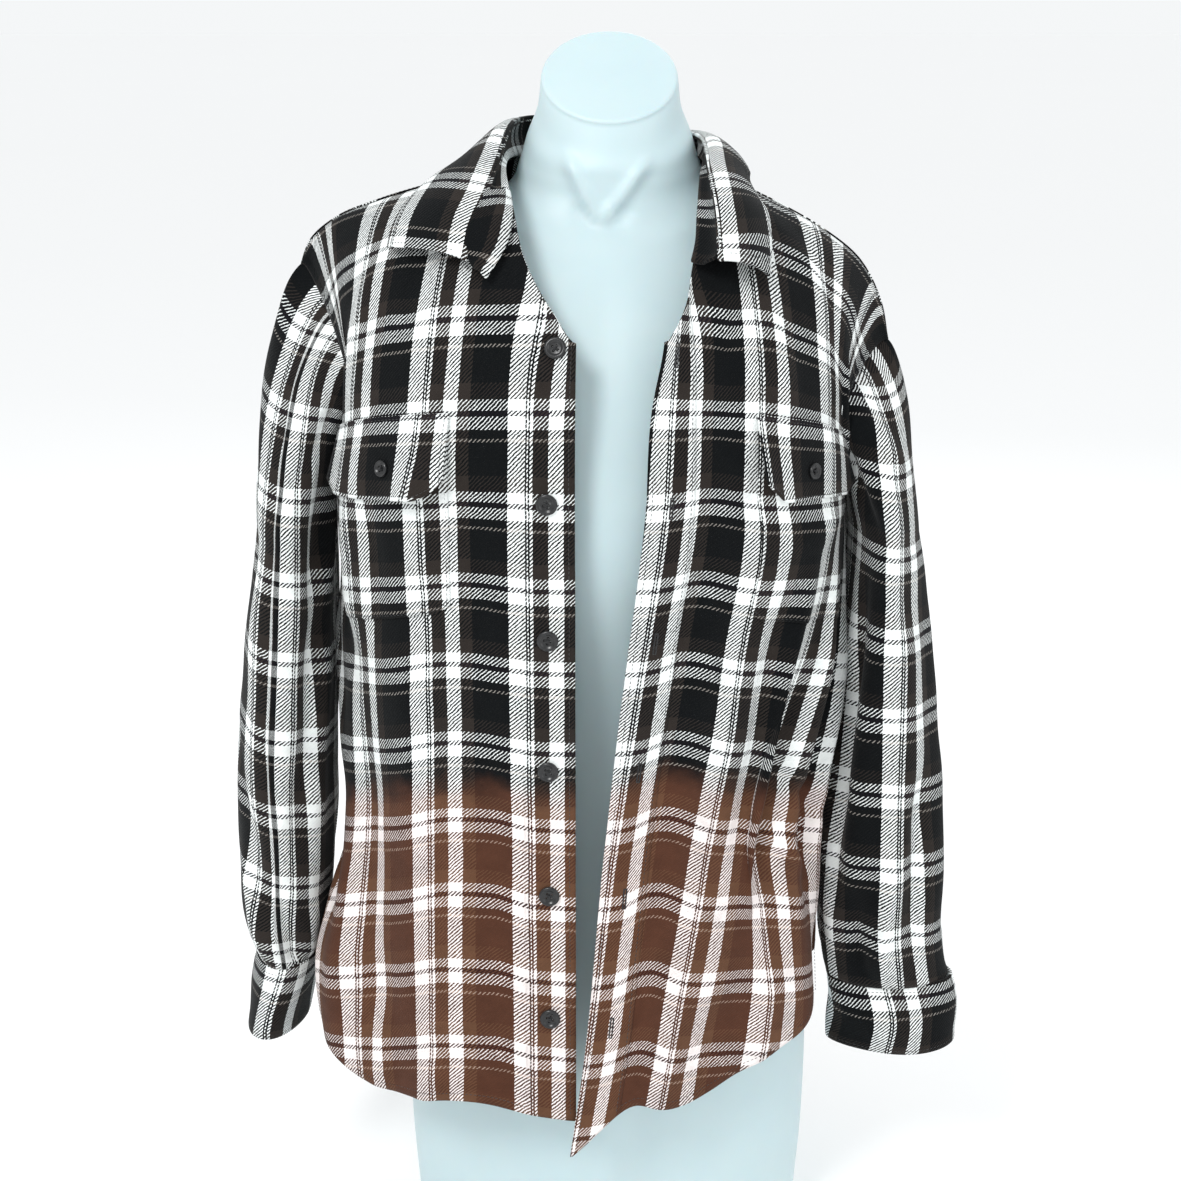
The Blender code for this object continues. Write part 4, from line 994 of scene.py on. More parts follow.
# %% Sleeves
SLEEVE = {
    RIGHT: table("z outer inner y deep", [
        (0.575, -0.254, -0.1985, 0.000, 0.082), (0.490, -0.266, -0.2000, 0.000, 0.074),
        (0.400, -0.277, -0.2030, 0.000, 0.068), (0.315, -0.279, -0.2085, 0.004, 0.063),
        (0.270, -0.280, -0.2140, 0.006, 0.058), (0.231, -0.270, -0.2230, 0.010, 0.052)]),
    LEFT: table("z outer inner y deep", [
        (0.575, 0.2265, 0.1785, 0.000, 0.082), (0.490, 0.238, 0.1755, -0.002, 0.074),
        (0.400, 0.248, 0.1705, -0.006, 0.064), (0.315, 0.259, 0.1655, -0.010, 0.052),
        (0.260, 0.262, 0.1665, -0.012, 0.042), (0.216, 0.267, 0.1735, -0.014, 0.030)]),
}
CUFF = {
    RIGHT: table("z outer inner y deep", [(0.2302, -0.269, -0.224, 0.010, 0.051),
                                          (0.1740, -0.279, -0.237, 0.006, 0.052)]),
    LEFT: table("z outer inner y deep", [(0.2152, 0.268, 0.176, -0.014, 0.027),
                                         (0.1620, 0.274, 0.178, -0.018, 0.025)]),
}
LEAVE_PULL = {RIGHT: 0.60, LEFT: 0.40}   # how long the cap keeps the shoulder's slope
ARRIVE_PULL = 0.8         # how early it turns to hang straight
# In these creases, across is metres outward from the front of the arm.
SLEEVE_CREASES = {
    RIGHT: table(CREASE_COLUMNS, [
        (-0.040, 0.12, -0.010, 0.46, 0.010, -0.0060, 0.006),
        (-0.062, 0.20, -0.034, 0.50, 0.011, 0.0040, -0.006),
        (0.030, 0.20, 0.012, 0.44, 0.016, 0.0036, 0.010),
        (0.062, 0.10, 0.030, 0.26, 0.015, -0.0040, -0.006),
        (-0.060, 0.05, 0.010, 0.17, 0.012, -0.0042, 0.008),
        (-0.080, 0.13, -0.020, 0.27, 0.011, 0.0042, 0.008),
        (0.070, 0.34, 0.010, 0.47, 0.012, -0.0044, 0.008),
        (0.040, 0.44, 0.006, 0.545, 0.009, 0.0050, 0.004),
        (-0.004, 0.47, -0.012, 0.56, 0.007, -0.0042, 0.003),
        (-0.034, 0.48, -0.030, 0.56, 0.008, 0.0040, -0.003),
        (0.074, 0.47, 0.066, 0.56, 0.008, -0.0036, 0.003),
        (0.120, 0.14, 0.150, 0.36, 0.014, -0.0050, 0.008),
        (0.160, 0.24, 0.125, 0.47, 0.013, 0.0050, -0.008),
        (-0.120, 0.16, -0.150, 0.38, 0.012, -0.0046, 0.006),
        (0.110, 0.40, 0.140, 0.55, 0.010, -0.0044, 0.005),
    ]),
    LEFT: table(CREASE_COLUMNS, [
        (-0.070, 0.06, -0.005, 0.20, 0.010, -0.0062, 0.008),
        (-0.045, 0.04, 0.030, 0.15, 0.012, 0.0046, 0.006),
        (-0.030, 0.22, -0.046, 0.47, 0.008, -0.0075, 0.005),
        (-0.012, 0.26, -0.030, 0.50, 0.010, 0.0056, 0.004),
        (0.030, 0.36, 0.020, 0.54, 0.008, -0.0070, 0.004),
        (0.050, 0.18, 0.046, 0.50, 0.011, 0.0046, -0.006),
        (-0.064, 0.34, -0.040, 0.54, 0.009, 0.0052, 0.004),
        (0.004, 0.44, -0.006, 0.555, 0.007, 0.0050, 0.003),
        (-0.024, 0.46, -0.020, 0.555, 0.006, -0.0046, 0.002),
        (0.072, 0.44, 0.062, 0.555, 0.008, -0.0040, 0.003),
        (0.020, 0.10, 0.016, 0.28, 0.014, -0.0036, 0.006),
        (0.120, 0.12, 0.142, 0.34, 0.013, -0.0052, 0.006),
        (0.150, 0.26, 0.118, 0.48, 0.012, 0.0052, -0.006),
        (-0.125, 0.14, -0.140, 0.40, 0.010, -0.0040, 0.006),
        (0.100, 0.40, 0.126, 0.55, 0.009, -0.0042, 0.004),
    ]),
}


def armhole(side, turn):
    """The armhole's seam: turn is 0 at the shoulder, a quarter at the front, half underneath."""
    turn = turn % 1.0
    rise = np.abs(1 - 2 * turn)
    front = dome(side, np.ones(turn.shape), rise, False)
    back = dome(side, np.ones(turn.shape), rise, True)
    return np.where((turn <= 0.5)[:, None], front, back)


def tube(row, turn):
    """A level ring of a sleeve or cuff, outer side first and round by the front."""
    angle = 2 * math.pi * turn
    middle, reach = (row["outer"] + row["inner"]) / 2, (row["outer"] - row["inner"]) / 2
    return np.stack([middle + reach * np.cos(angle), row["y"] - row["deep"] * np.sin(angle),
                     np.full(turn.shape, row["z"])], -1)


def read_row(rows, z):
    """A ring's sizes at height z, from a table whose z falls."""
    return {name: curve(rows["z"][::-1], rows[name][::-1], z) for name in rows}


UNDER_SEAM = 0.0018       # the sleeve runs on under the body's edge
CAP_PULL = 2.1            # lets the cloth at the front of the arm run straight up to the seam


def seam_turn(turns):
    """Which place of the armhole each column of the sleeve is sewn to."""
    turns = turns % 1.0
    half = np.where(turns <= 0.5, turns, 1 - turns)
    place = 0.5 * (2 * half) ** CAP_PULL
    return np.where(turns <= 0.5, place, 1 - place)


def sleeve_points(side, turns, cap_rows, arm_rows):
    """Rings from just inside the armhole, over the cap, down to the cuff's seam."""
    sewn = seam_turn(turns)
    under = (1 - np.cos(2 * math.pi * sewn)) / 2
    leave = np.stack([side * (0.75 + 0.15 * under), 0 * turns, -0.66 + 0.30 * under], -1)
    start = armhole(side, sewn) + np.stack(
        [0 * turns, 0.0014 * np.sin(2 * math.pi * sewn), -0.0008 + 0.0004 * under], -1)
    first = tube(read_row(SLEEVE[side], SLEEVE[side]["z"][0]), turns)
    reach = np.linalg.norm(first - start, axis=-1)[:, None]
    arrive = np.array([0.0, 0.0, -1.0])
    rows = [start - leave * UNDER_SEAM]
    for t in np.linspace(0, 1, cap_rows + 1)[:-1]:
        rows.append(start * (1 + 2 * t) * (1 - t) ** 2 + first * t * t * (3 - 2 * t)
                    + leave * reach * LEAVE_PULL[side] * t * (1 - t) ** 2
                    + arrive * reach * ARRIVE_PULL * t * t * (t - 1))
    for z in np.linspace(SLEEVE[side]["z"][0], SLEEVE[side]["z"][-1], arm_rows + 1):
        rows.append(tube(read_row(SLEEVE[side], z), turns))
    return np.array(rows)


CAP_CELLS, ARM_CELLS, AROUND_CELLS = 44, 96, 104
CAP_DEPTH = 0.190         # cloth depth at which the cap ends
SLEEVE_WARP = {RIGHT: 0.047, LEFT: 0.053}     # where the front of the arm lies in the check
SLEEVE_WEFT = {RIGHT: 0.0330, LEFT: 0.0500}
SLEEVE_TUCK = {RIGHT: 0.043, LEFT: 0.0}       # cloth hidden in the long fold down the front
TUCK_HALF = 0.0025        # half width of the place where that cloth goes in
TUCK_OUT, TUCK_DRIFT = 0.003, 0.006           # where it starts, and how far it drifts inward
SLEEVE_SLANT = {RIGHT: 0.010, LEFT: -0.003}   # how far the weft dips toward the body
SLANT_WIDE = 0.05         # most of that dip lies within this of the front


def sleeve_grid(side, lift=0.0):
    """A sleeve's points and flat places, its flip, and where each point lies in the flat piece."""
    order = np.linspace(0.5, 1.5, AROUND_CELLS + 1)       # underarm, back, shoulder, front
    points = sleeve_points(side, order, CAP_CELLS, ARM_CELLS)
    ring = np.linalg.norm(np.diff(points, axis=1), axis=-1)
    run = np.concatenate([np.zeros((len(points), 1)), np.cumsum(ring, 1)], 1)
    front = int(round(AROUND_CELLS * 0.75))               # the column at the front of the arm
    around = run[:, front:front + 1] - run                # grows outward from the front
    drop = length_along(points)
    down = drop - drop[CAP_CELLS + 1] + CAP_DEPTH         # cloth depth, even along each ring
    fold_at = around - TUCK_OUT + TUCK_DRIFT * ease(0.3, 0.6, down)
    fold = SLEEVE_TUCK[side] * ease(-TUCK_HALF, TUCK_HALF, fold_at)
    dip = SLEEVE_SLANT[side] * np.tanh(around / SLANT_WIDE)
    weave = np.stack([SLEEVE_WARP[side] + side * (around + fold),
                      down + SLEEVE_WEFT[side] + dip, np.full(around.shape, -1.0)], -1)
    facing = normals(points) * (-side)
    high = crease_out(SLEEVE_CREASES[side], around, down) + ripple_out(around, down, 3.0 + side)
    high = high * ease(0.0, 0.03, drop) * ease(0.0, 0.012, drop[-1:] - drop)
    points = points + facing * (high + lift)[..., None]
    return points, weave, side == RIGHT, around, down


def make_sleeve(side):
    word = side_word(side)
    points, weave, flip, around, down = sleeve_grid(side)
    thing = cloth(f"sleeve_{word}", points, weave, not flip, material=SLEEVE_FLANNEL)
    widest = float(np.ptp(around, axis=1).max())
    length = float(np.ptp(down, axis=0).max())
    area = float(np.ptp(around, axis=1).mean() * np.ptp(down, axis=0).mean())
    return declared(thing, (widest, length), area)


# %% Cuffs
CUFF_OPENS = 0.82         # share of the way round where the cuff buttons: behind, outside
CUFF_LAP = 0.067          # of a turn
CUFF_THICK = 0.0024       # two layers and what stiffens them
CUFF_WAVE = {RIGHT: 0.0012, LEFT: 0.0018}
CUFF_DEEP = 0.060
CUFF_COLUMNS, CUFF_ROWS = 150, 20


def cuff_grid(side):
    """A band that laps over itself at the back, where it buttons."""
    turn = CUFF_OPENS + np.linspace(0, 1 + CUFF_LAP, CUFF_COLUMNS)
    over = ease(CUFF_OPENS + 0.88, CUFF_OPENS + 1.0, turn) * 0.0030
    points, weave = [], []
    for share in np.linspace(-0.035, 1, CUFF_ROWS):
        row = {name: CUFF[side][name][0] * (1 - share) + CUFF[side][name][1] * share
               for name in CUFF[side]}
        ring = tube(row, turn)
        centre = np.array([(row["outer"] + row["inner"]) / 2, row["y"], row["z"]])
        away = unit((ring - centre) * [1, 1, 0])
        swell = (CUFF_WAVE[side] * np.sin(2 * math.pi * (turn * 3 + share * 0.7))
                 + 0.0010 * math.sin(math.pi * np.clip(share, 0, 1)) + 0.0012)
        ring = ring + away * (over + swell)[:, None]
        ring[:, 2] += 0.0012 * np.sin(2 * math.pi * (turn * 2 + 0.3 * side)) * share
        points.append(ring)
        run = length_along(ring)
        weave.append(np.stack([-side * run + 0.020, np.full(run.shape, share * 0.056 + 0.0006),
                               np.full(run.shape, -1.0)], -1))
    return np.array(points), np.array(weave)


def make_cuff(side):
    points, weave = cuff_grid(side)
    word = side_word(side)
    thing = cloth(f"cuff_{word}", points, weave, flip=side == LEFT, thick=CUFF_THICK,
                  material=SLEEVE_FLANNEL)
    around = float(np.linalg.norm(np.diff(points[0], axis=0), axis=-1).sum())
    area = around * CUFF_DEEP * 0.98
    return declared(thing, (around, CUFF_DEEP), area)


for side in (RIGHT, LEFT):
    make_sleeve(side)
    make_cuff(side)

# %% Sleeve plackets
PLACKET_LONG, PLACKET_WIDE = 0.130, 0.024


def make_sleeve_placket(side):
    """The strip that binds the slit above the cuff, behind the arm."""
    word = side_word(side)
    points, weave, flip, _, _ = sleeve_grid(side, lift=SHEET_LIFT)
    rows = int(PLACKET_LONG / 0.0037)
    wide = int(round(PLACKET_WIDE / 0.0033))
    middle = int(round(AROUND_CELLS * (CUFF_OPENS - 0.5)))
    part = np.s_[-rows:, middle - wide // 2:middle + wide // 2 + 1]
    strip, flat = points[part], weave[part] + [0.017, 0.008, 0]
    thing = cloth(f"sleeve_placket_{word}", strip, flat, not flip, thick=CLOTH * 1.4,
                  material=SLEEVE_FLANNEL)
    size = (float(np.ptp(flat[0, :, 0])), float(np.ptp(flat[:, 0, 1])))
    return declared(thing, size, size[0] * size[1] * 0.98)


for side in (RIGHT, LEFT):
    make_sleeve_placket(side)

# %% [markdown]
# ## Collar
# A shirt collar has two parts: the stand goes up from the neckline, and the leaf is sewn to the
# stand's upper edge, rolls over and falls outward. Each is two layers of cloth with a stiffener
# between, so both hold a smooth curve and have a thick, rounded edge.

# %% Collar
# Three lines of the collar, in metres, from the nape (0) to the stand's front end (1): the foot
# sewn to the neckline, the roll, and the leaf's outer edge.
COLLAR_COLUMNS = ("share foot_x foot_y foot_z roll_x roll_y roll_z edge_x edge_y edge_z")
COLLAR = {
    RIGHT: table(COLLAR_COLUMNS, [
        (0.00, -0.0110, 0.0686, 0.8320, -0.0110, 0.0660, 0.8610, -0.0110, 0.0905, 0.8150),
        (0.25, -0.0415, 0.0608, 0.8330, -0.0430, 0.0580, 0.8615, -0.0560, 0.0840, 0.8165),
        (0.40, -0.0576, 0.0459, 0.8343, -0.0600, 0.0400, 0.8610, -0.0800, 0.0650, 0.8235),
        (0.50, -0.0675, 0.0040, 0.8350, -0.0668, 0.0030, 0.8575, -0.0960, 0.0330, 0.8300),
        (0.62, -0.0690, -0.0300, 0.8285, -0.0755, -0.0420, 0.8335, -0.1150, -0.0060, 0.8250),
        (0.74, -0.0645, -0.0560, 0.8125, -0.0828, -0.0740, 0.8150, -0.1315, -0.0360, 0.8105),
        (0.86, -0.0632, -0.0735, 0.7990, -0.0916, -0.0900, 0.7970, -0.1420, -0.0515, 0.7958),
        (0.93, -0.0660, -0.0900, 0.7840, -0.0942, -0.0960, 0.7865, -0.1455, -0.0585, 0.7868),
        (1.00, -0.0796, -0.1035, 0.7639, -0.0958, -0.0995, 0.7770, -0.1470, -0.0635, 0.7795)]),
    LEFT: table(COLLAR_COLUMNS, [
        (0.00, -0.0110, 0.0686, 0.8320, -0.0110, 0.0660, 0.8610, -0.0110, 0.0905, 0.8150),
        (0.25, 0.0282, 0.0608, 0.8330, 0.0310, 0.0580, 0.8560, 0.0440, 0.0840, 0.8150),
        (0.40, 0.0501, 0.0459, 0.8343, 0.0540, 0.0400, 0.8520, 0.0740, 0.0650, 0.8185),
        (0.50, 0.0675, 0.0040, 0.8350, 0.0672, 0.0060, 0.8500, 0.0985, 0.0280, 0.8230),
        (0.62, 0.0650, -0.0290, 0.8260, 0.0700, -0.0420, 0.8335, 0.0990, -0.0160, 0.8205),
        (0.74, 0.0632, -0.0500, 0.8140, 0.0722, -0.0740, 0.8190, 0.1050, -0.0400, 0.8100),
        (0.86, 0.0611, -0.0690, 0.7975, 0.0744, -0.0960, 0.8005, 0.1100, -0.0560, 0.7980),
        (0.93, 0.0599, -0.0830, 0.7855, 0.0752, -0.1070, 0.7870, 0.1095, -0.0740, 0.7800),
        (1.00, 0.0561, -0.0965, 0.7745, 0.0759, -0.1160, 0.7770, 0.1070, -0.0890, 0.7620)]),
}
COLLAR_THICK = 0.0020
COLLAR_CELLS = 76         # each side, from the nape to the front end
COLLAR_WEFT = (0.0107, 0.0192)   # where the leaf's two front edges cut the check's repeat


def collar_line(name):
    """A line of the collar, from the wearer's right front end round the nape to the left one."""
    share = np.linspace(0, 1, COLLAR_CELLS + 1)
    halves = []
    for side in (RIGHT, LEFT):
        rows = COLLAR[side]
        halves.append(np.stack([curve(rows["share"], rows[name + axis], share)
                                for axis in ("_x", "_y", "_z")], -1))
    line = np.concatenate([halves[0][::-1], halves[1][1:]])
    for _ in range(6):
        line[1:-1] = line[1:-1] / 2 + (line[:-2] + line[2:]) / 4
    return line


foot, roll, edge = collar_line("foot"), collar_line("roll"), collar_line("edge")
run = length_along(roll)
repeats = round((run[-1] - COLLAR_WEFT[1] + COLLAR_WEFT[0]) / (WEFT_REPEAT * MM))
collar_weft = COLLAR_WEFT[0] + run / run[-1] * (
    repeats * WEFT_REPEAT * MM + COLLAR_WEFT[1] - COLLAR_WEFT[0])
print("collar", round(float(run[-1]), 3), "m along its roll,", repeats, "repeats of the check")

# The stand: its ends are rounded, and it swells a little between foot and roll.
at_end = np.minimum(run, run[-1] - run)
cut = 0.5 * (1 - np.sqrt(np.clip(1 - (1 - np.clip(at_end / 0.014, 0, 1)) ** 2, 0, 1)))
t = np.linspace(0, 1, 15)[:, None]
stand_share = (t * (1 - cut))[..., None]
stand = foot + (roll - foot) * stand_share
inward = normals(stand)
inward *= np.sign((inward * ([-0.011, 0.0, 0.80] - stand)).sum(-1, keepdims=True))
stand = stand - inward * (0.0030 * np.sin(math.pi * t) ** 1.2)[..., None]
toward_left = run / run[-1]
weave = np.stack([stand_share[..., 0] * 0.034 + 0.0015 + 0.0140 * ease(0.4, 0.7, toward_left),
                  (collar_weft + 0.0105 + 0.0263 * toward_left) * np.ones((15, 1)),
                  np.full((15, len(run)), -1.0)], -1)
collar_stand = cloth("collar_stand", stand, weave, thick=COLLAR_THICK, material=SLEEVE_FLANNEL)
declared(collar_stand, (float(run[-1]), 0.034), float(run[-1]) * 0.0335)


# The leaf: from inside the roll, over it, and down to the outer edge on a swelling curve.
def bend(points, t):
    """A cubic curve through four lines of points."""
    a, b, c, d = points
    return (a * (1 - t) ** 3 + b * 3 * t * (1 - t) ** 2 + c * 3 * t * t * (1 - t) + d * t ** 3)


along = unit(np.gradient(roll, axis=0))
fall = unit(edge - roll)
away = unit(np.cross(along, fall))
away *= np.sign(away[:, 2:])
rise = unit(roll - foot)
start = roll - rise * 0.004 + away * 0.0002
t = np.linspace(0, 1, 30)[:, None, None] ** 1.35
crest = roll + rise * 0.0075 + away * 0.0040 + fall * 0.002
belly = edge + away * 0.0090 - fall * 0.016
leaf = bend((start, crest, belly, edge + away * 0.0010), t)
leaf_run = length_along(leaf)
leaf = leaf + away * (0.0014 * np.sin(run * 41.0) * leaf_run[..., None].clip(0, 0.04)[..., 0]
                      / 0.04)[..., None]
weave = np.stack([leaf_run - 0.004, collar_weft + 0 * leaf_run,
                  np.full(leaf_run.shape, -1.0)], -1)
collar_leaf = cloth("collar_leaf", leaf, weave, thick=COLLAR_THICK, material=SLEEVE_FLANNEL)
declared(collar_leaf, (float(run[-1]) + 0.03, 0.062),
         float(np.linalg.norm(np.diff(leaf[-1], axis=0), axis=-1).sum() + run[-1]) / 2
         * float(leaf_run[-1].mean()))

# %% Turned-back corner
# Worn open, the top corner of the right front folds out and lies on the front.
CORNER = table("share fold edge_across edge_down", [     # places of the cloth it lies on
    (0.0, 0.0580, 0.0680, 0.1210), (0.25, 0.0435, 0.0500, 0.1330), (0.5, 0.0290, 0.0310, 0.1455),
    (0.75, 0.0145, 0.0148, 0.1590), (1.0, 0.0, 0.0, 0.1662)])
CORNER_RISE = 0.0058      # how far its middle stands off the front
CORNER_WIDE = 0.034       # its cut's greatest width


def make_corner():
    """The sheet from the fold to the free edge, tapering to nothing at the first button."""
    t = np.linspace(0, 1, 40)
    column = read_table(CORNER, "share", t)
    fold = np.stack([column["fold"], neckline_down(column["fold"])], -1)
    reach = np.stack([column["edge_across"], column["edge_down"]], -1) - fold
    out = np.linspace(0, 1, 16)[:, None]
    lying = fold + reach * out[..., None]              # across, down
    under, _, _ = panel(RIGHT, lying[..., 0], lying[..., 1])
    size = np.linalg.norm(reach, axis=-1) / CORNER_WIDE
    swell = np.sin(math.pi * out ** 0.75) * 0.75 + 0.45 * out
    lift = 0.0009 + CORNER_RISE * swell * np.clip(size, 0.12, 1) ** 0.7 * ease(-0.05, 0.25, out)
    points = under - normals(under) * lift[..., None]
    points[0] = under[0]
    ahead = unit(np.gradient(fold, axis=0))
    mirrored = 2 * (reach * ahead).sum(-1, keepdims=True) * ahead - reach
    cut = fold + mirrored * out[..., None]
    weave = body_weave(RIGHT, cut[..., 0], cut[..., 1], shift=(0.010, 0.004))
    weave[..., 2] = -1
    corner = cloth("front_right_corner", points, weave, nodes=())
    long = float(length_along(under[0])[-1])
    cell = np.cross(np.gradient(under, axis=0), np.gradient(under, axis=1))
    area = float(np.abs(cell).max(-1).sum())
    share = min(max(1.1 * area / (long * CORNER_WIDE), 0.31), 1.0)
    return declared(corner, (long, CORNER_WIDE), share * long * CORNER_WIDE)


make_corner()

# %% [markdown]
# ## Buttons
# A shirt button is moulded in polyester resin: a raised rim, a sunk middle with four holes, and
# black thread crossed through them. One is turned as a profile, its holes are cut with a boolean,
# and the rest are copies of that mesh.

# %% Button material
resin, tree, shader = new_material("moulded_polyester_resin", 0.28, IOR=1.50, Coat_Weight=0.10,
                                   Coat_Roughness=0.12)
here = add(tree, "ShaderNodeTexCoord").outputs["Object"]
black = add(tree, "ShaderNodeMix", {"Factor": 1.0, "A": linear("#0e0f11"),
                                    "B": noise(tree, here, 700.0, 0.6, 1.5, detail=3.0)},
            data_type="RGBA", blend_type="MULTIPLY")
plug(tree, shader, {"Base Color": black, "Roughness": noise(tree, here, 500.0, 0.20, 0.40)})

cotton, tree, shader = new_material("spun_polyester_thread", 0.75, Sheen_Weight=0.2)
ply = add(tree, "ShaderNodeTexWave", {"Scale": 900.0, "Distortion": 1.0})
strand = add(tree, "ShaderNodeMapRange", {"Value": ply, "To Min": 0.7, "To Max": 1.3})
dyed = add(tree, "ShaderNodeMix", {"Factor": 1.0, "A": linear("#16171a"), "B": strand},
           data_type="RGBA", blend_type="MULTIPLY")
plug(tree, shader, {"Base Color": dyed})


# %% Buttons
BUTTON_RADIUS, SMALL_BUTTON_RADIUS = 0.0073, 0.0058
BUTTON_THICK = 0.0028
BUTTON_SIDES = 56
HOLE_RADIUS, HOLE_OUT = 0.00095, 0.0021


def hole_step(radius):
    """How far a hole lies from the middle, along x and along y."""
    return HOLE_OUT * radius / BUTTON_RADIUS / math.sqrt(2)


def button_mesh(name, radius):
    """A turned disc with four holes."""
    thick = BUTTON_THICK
    profile = [(0, 0.0016), (radius * 0.50, 0.0016), (radius * 0.58, 0.00175),
               (radius * 0.68, 0.0026), (radius * 0.76, thick), (radius * 0.86, thick * 0.99),
               (radius * 0.95, thick * 0.84), (radius, thick * 0.60), (radius * 0.97, thick * 0.28),
               (radius * 0.84, 0.0002), (radius * 0.70, 0), (0, 0)]
    turns = 2 * math.pi * np.arange(BUTTON_SIDES) / BUTTON_SIDES
    made = bmesh.new()
    rings = []
    for out, up in profile:
        if out == 0:
            rings.append([made.verts.new((0, 0, up))])
        else:
            rings.append([made.verts.new((out * math.cos(a), out * math.sin(a), up)) for a in turns])
    for upper, lower in zip(rings, rings[1:]):
        for i in range(BUTTON_SIDES):
            j = (i + 1) % BUTTON_SIDES
            if len(upper) == 1:
                made.faces.new((upper[0], lower[i], lower[j]))
            elif len(lower) == 1:
                made.faces.new((upper[i], lower[0], upper[j]))
            else:
                made.faces.new((upper[i], lower[i], lower[j], upper[j]))
    mesh = bpy.data.meshes.new(name)
    made.to_mesh(mesh)
    made.free()
    disc = placed(name, mesh)
    pins = bmesh.new()
    step = hole_step(radius)
    for x in (-1, 1):
        for y in (-1, 1):
            place = Matrix.Translation((x * step, y * step, 0.001))
            bmesh.ops.create_cone(pins, cap_ends=True, segments=16, radius1=HOLE_RADIUS,
                                  radius2=HOLE_RADIUS, depth=0.01, matrix=place)
    pin_mesh = bpy.data.meshes.new("pins")
    pins.to_mesh(pin_mesh)
    pins.free()
    cutter = placed("pins", pin_mesh)
    cut = disc.modifiers.new("holes", "BOOLEAN")
    cut.object, cut.operation, cut.solver = cutter, "DIFFERENCE", "EXACT"
    bpy.context.view_layer.update()
    done = bpy.data.meshes.new_from_object(disc.evaluated_get(bpy.context.evaluated_depsgraph_get()))
    done.name = name
    bpy.data.objects.remove(disc, do_unlink=True)
    bpy.data.objects.remove(cutter, do_unlink=True)
    done.shade_smooth()
    done.set_sharp_from_angle(angle=math.radians(38))
    done.materials.clear()
    done.materials.append(resin)
    return done


def thread_cross(name, radius):
    """Two crossed loops of thread through the holes."""
    step = hole_step(radius)
    made = bmesh.new()
    for turn in (1, -1):
        for offset in (-0.00022, 0.00022):
            points = []
            for s in np.linspace(-1, 1, 9):
                points.append(Vector((s * step + offset, turn * s * step - turn * offset,
                                      0.0012 + 0.0014 * (1 - abs(s) ** 2.6) + 0.0002 * (turn > 0))))
            add_tube(made, points, 0.00026, 6)
    mesh = bpy.data.meshes.new(name)
    made.to_mesh(mesh)
    made.free()
    mesh.shade_smooth()
    mesh.materials.append(cotton)
    return mesh


def add_tube(made, points, radius, sides):
    """Adds a tube along points to a bmesh, closed at both ends."""
    rings = []
    for i, point in enumerate(points):
        ahead = (points[min(i + 1, len(points) - 1)] - points[max(i - 1, 0)]).normalized()
        aside = ahead.orthogonal().normalized()
        if rings:
            aside = (last - ahead * last.dot(ahead)).normalized()
        last = aside
        up = ahead.cross(aside)
        rings.append([made.verts.new(point + (aside * math.cos(a) + up * math.sin(a)) * radius)
                      for a in (2 * math.pi * k / sides for k in range(sides))])
    for a, b in zip(rings, rings[1:]):
        for i in range(sides):
            j = (i + 1) % sides
            made.faces.new((a[i], a[j], b[j], b[i]))
    made.faces.new(rings[0][::-1])
    made.faces.new(rings[-1])


BUTTON_MESHES = {radius: (button_mesh(f"button_{k}", radius), thread_cross(f"thread_{k}", radius))
                 for k, radius in (("large", BUTTON_RADIUS), ("small", SMALL_BUTTON_RADIUS))}


def make_button(name, place, outward, radius, spin):
    """A button with its back 0.4 mm off the cloth at place."""
    disc, cross = BUTTON_MESHES[radius]
    turn = (Vector(outward).to_track_quat("Z", "Y").to_matrix().to_4x4()
            @ Matrix.Rotation(math.radians(spin), 4, "Z"))
    seat = Matrix.Translation(Vector(place) + Vector(outward) * (CLOTH / 2 + 0.0004)) @ turn
    for label, mesh, nodes in ((name, disc, (name,)), (name + "_thread", cross, ())):
        thing = placed(label, mesh)
        thing.matrix_world = seat
        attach(thing, "root")
        if nodes:
            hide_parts(*nodes)


def spot(grid, row, column):
    """A place on a grid and the grid's normal there, read between its points."""
    r, c = int(math.floor(row)), int(math.floor(column))
    r, c = min(r, grid.shape[0] - 2), min(c, grid.shape[1] - 2)
    pr, pc = row - r, column - c
    place = ((grid[r, c] * (1 - pc) + grid[r, c + 1] * pc) * (1 - pr)
             + (grid[r + 1, c] * (1 - pc) + grid[r + 1, c + 1] * pc) * pr)
    lo_r, hi_r = max(r - 1, 0), min(r + 2, grid.shape[0] - 1)
    lo_c, hi_c = max(c - 1, 0), min(c + 2, grid.shape[1] - 1)
    normal = np.cross(grid[hi_r, c] - grid[lo_r, c], grid[r, hi_c] - grid[r, lo_c])
    return place, normal / np.linalg.norm(normal)


def on_body(side, across, down, back=False, lift=0.0):
    """Places on the body's cloth, lifted off it, and the way out of it there."""
    across, down = np.broadcast_arrays(np.asarray(across, float), np.asarray(down, float))
    place, step = body(side, across, down, back), 0.0015
    outward = unit(np.cross(body(side, across, down + step, back) - place,
                            body(side, across + step, down, back) - place))
    outward = outward * (1.0 if (side == LEFT) != back else -1.0)
    return place + outward * lift, outward


SPINS = [12, -20, 35, 5, -8, 24]
FIRST_BUTTON_DOWN, BUTTON_PITCH, BUTTON_ACROSS = 0.168, 0.0985, BAND_WIDTH / 2
for number, spin in enumerate(SPINS):
    down = max(FIRST_BUTTON_DOWN + BUTTON_PITCH * number,
               float(neckline_down(BUTTON_ACROSS)) + 0.010)
    place, outward = on_body(RIGHT, BUTTON_ACROSS, down, lift=SHEET_LIFT)
    make_button(f"button_{number + 1}", place, outward, BUTTON_RADIUS, spin)

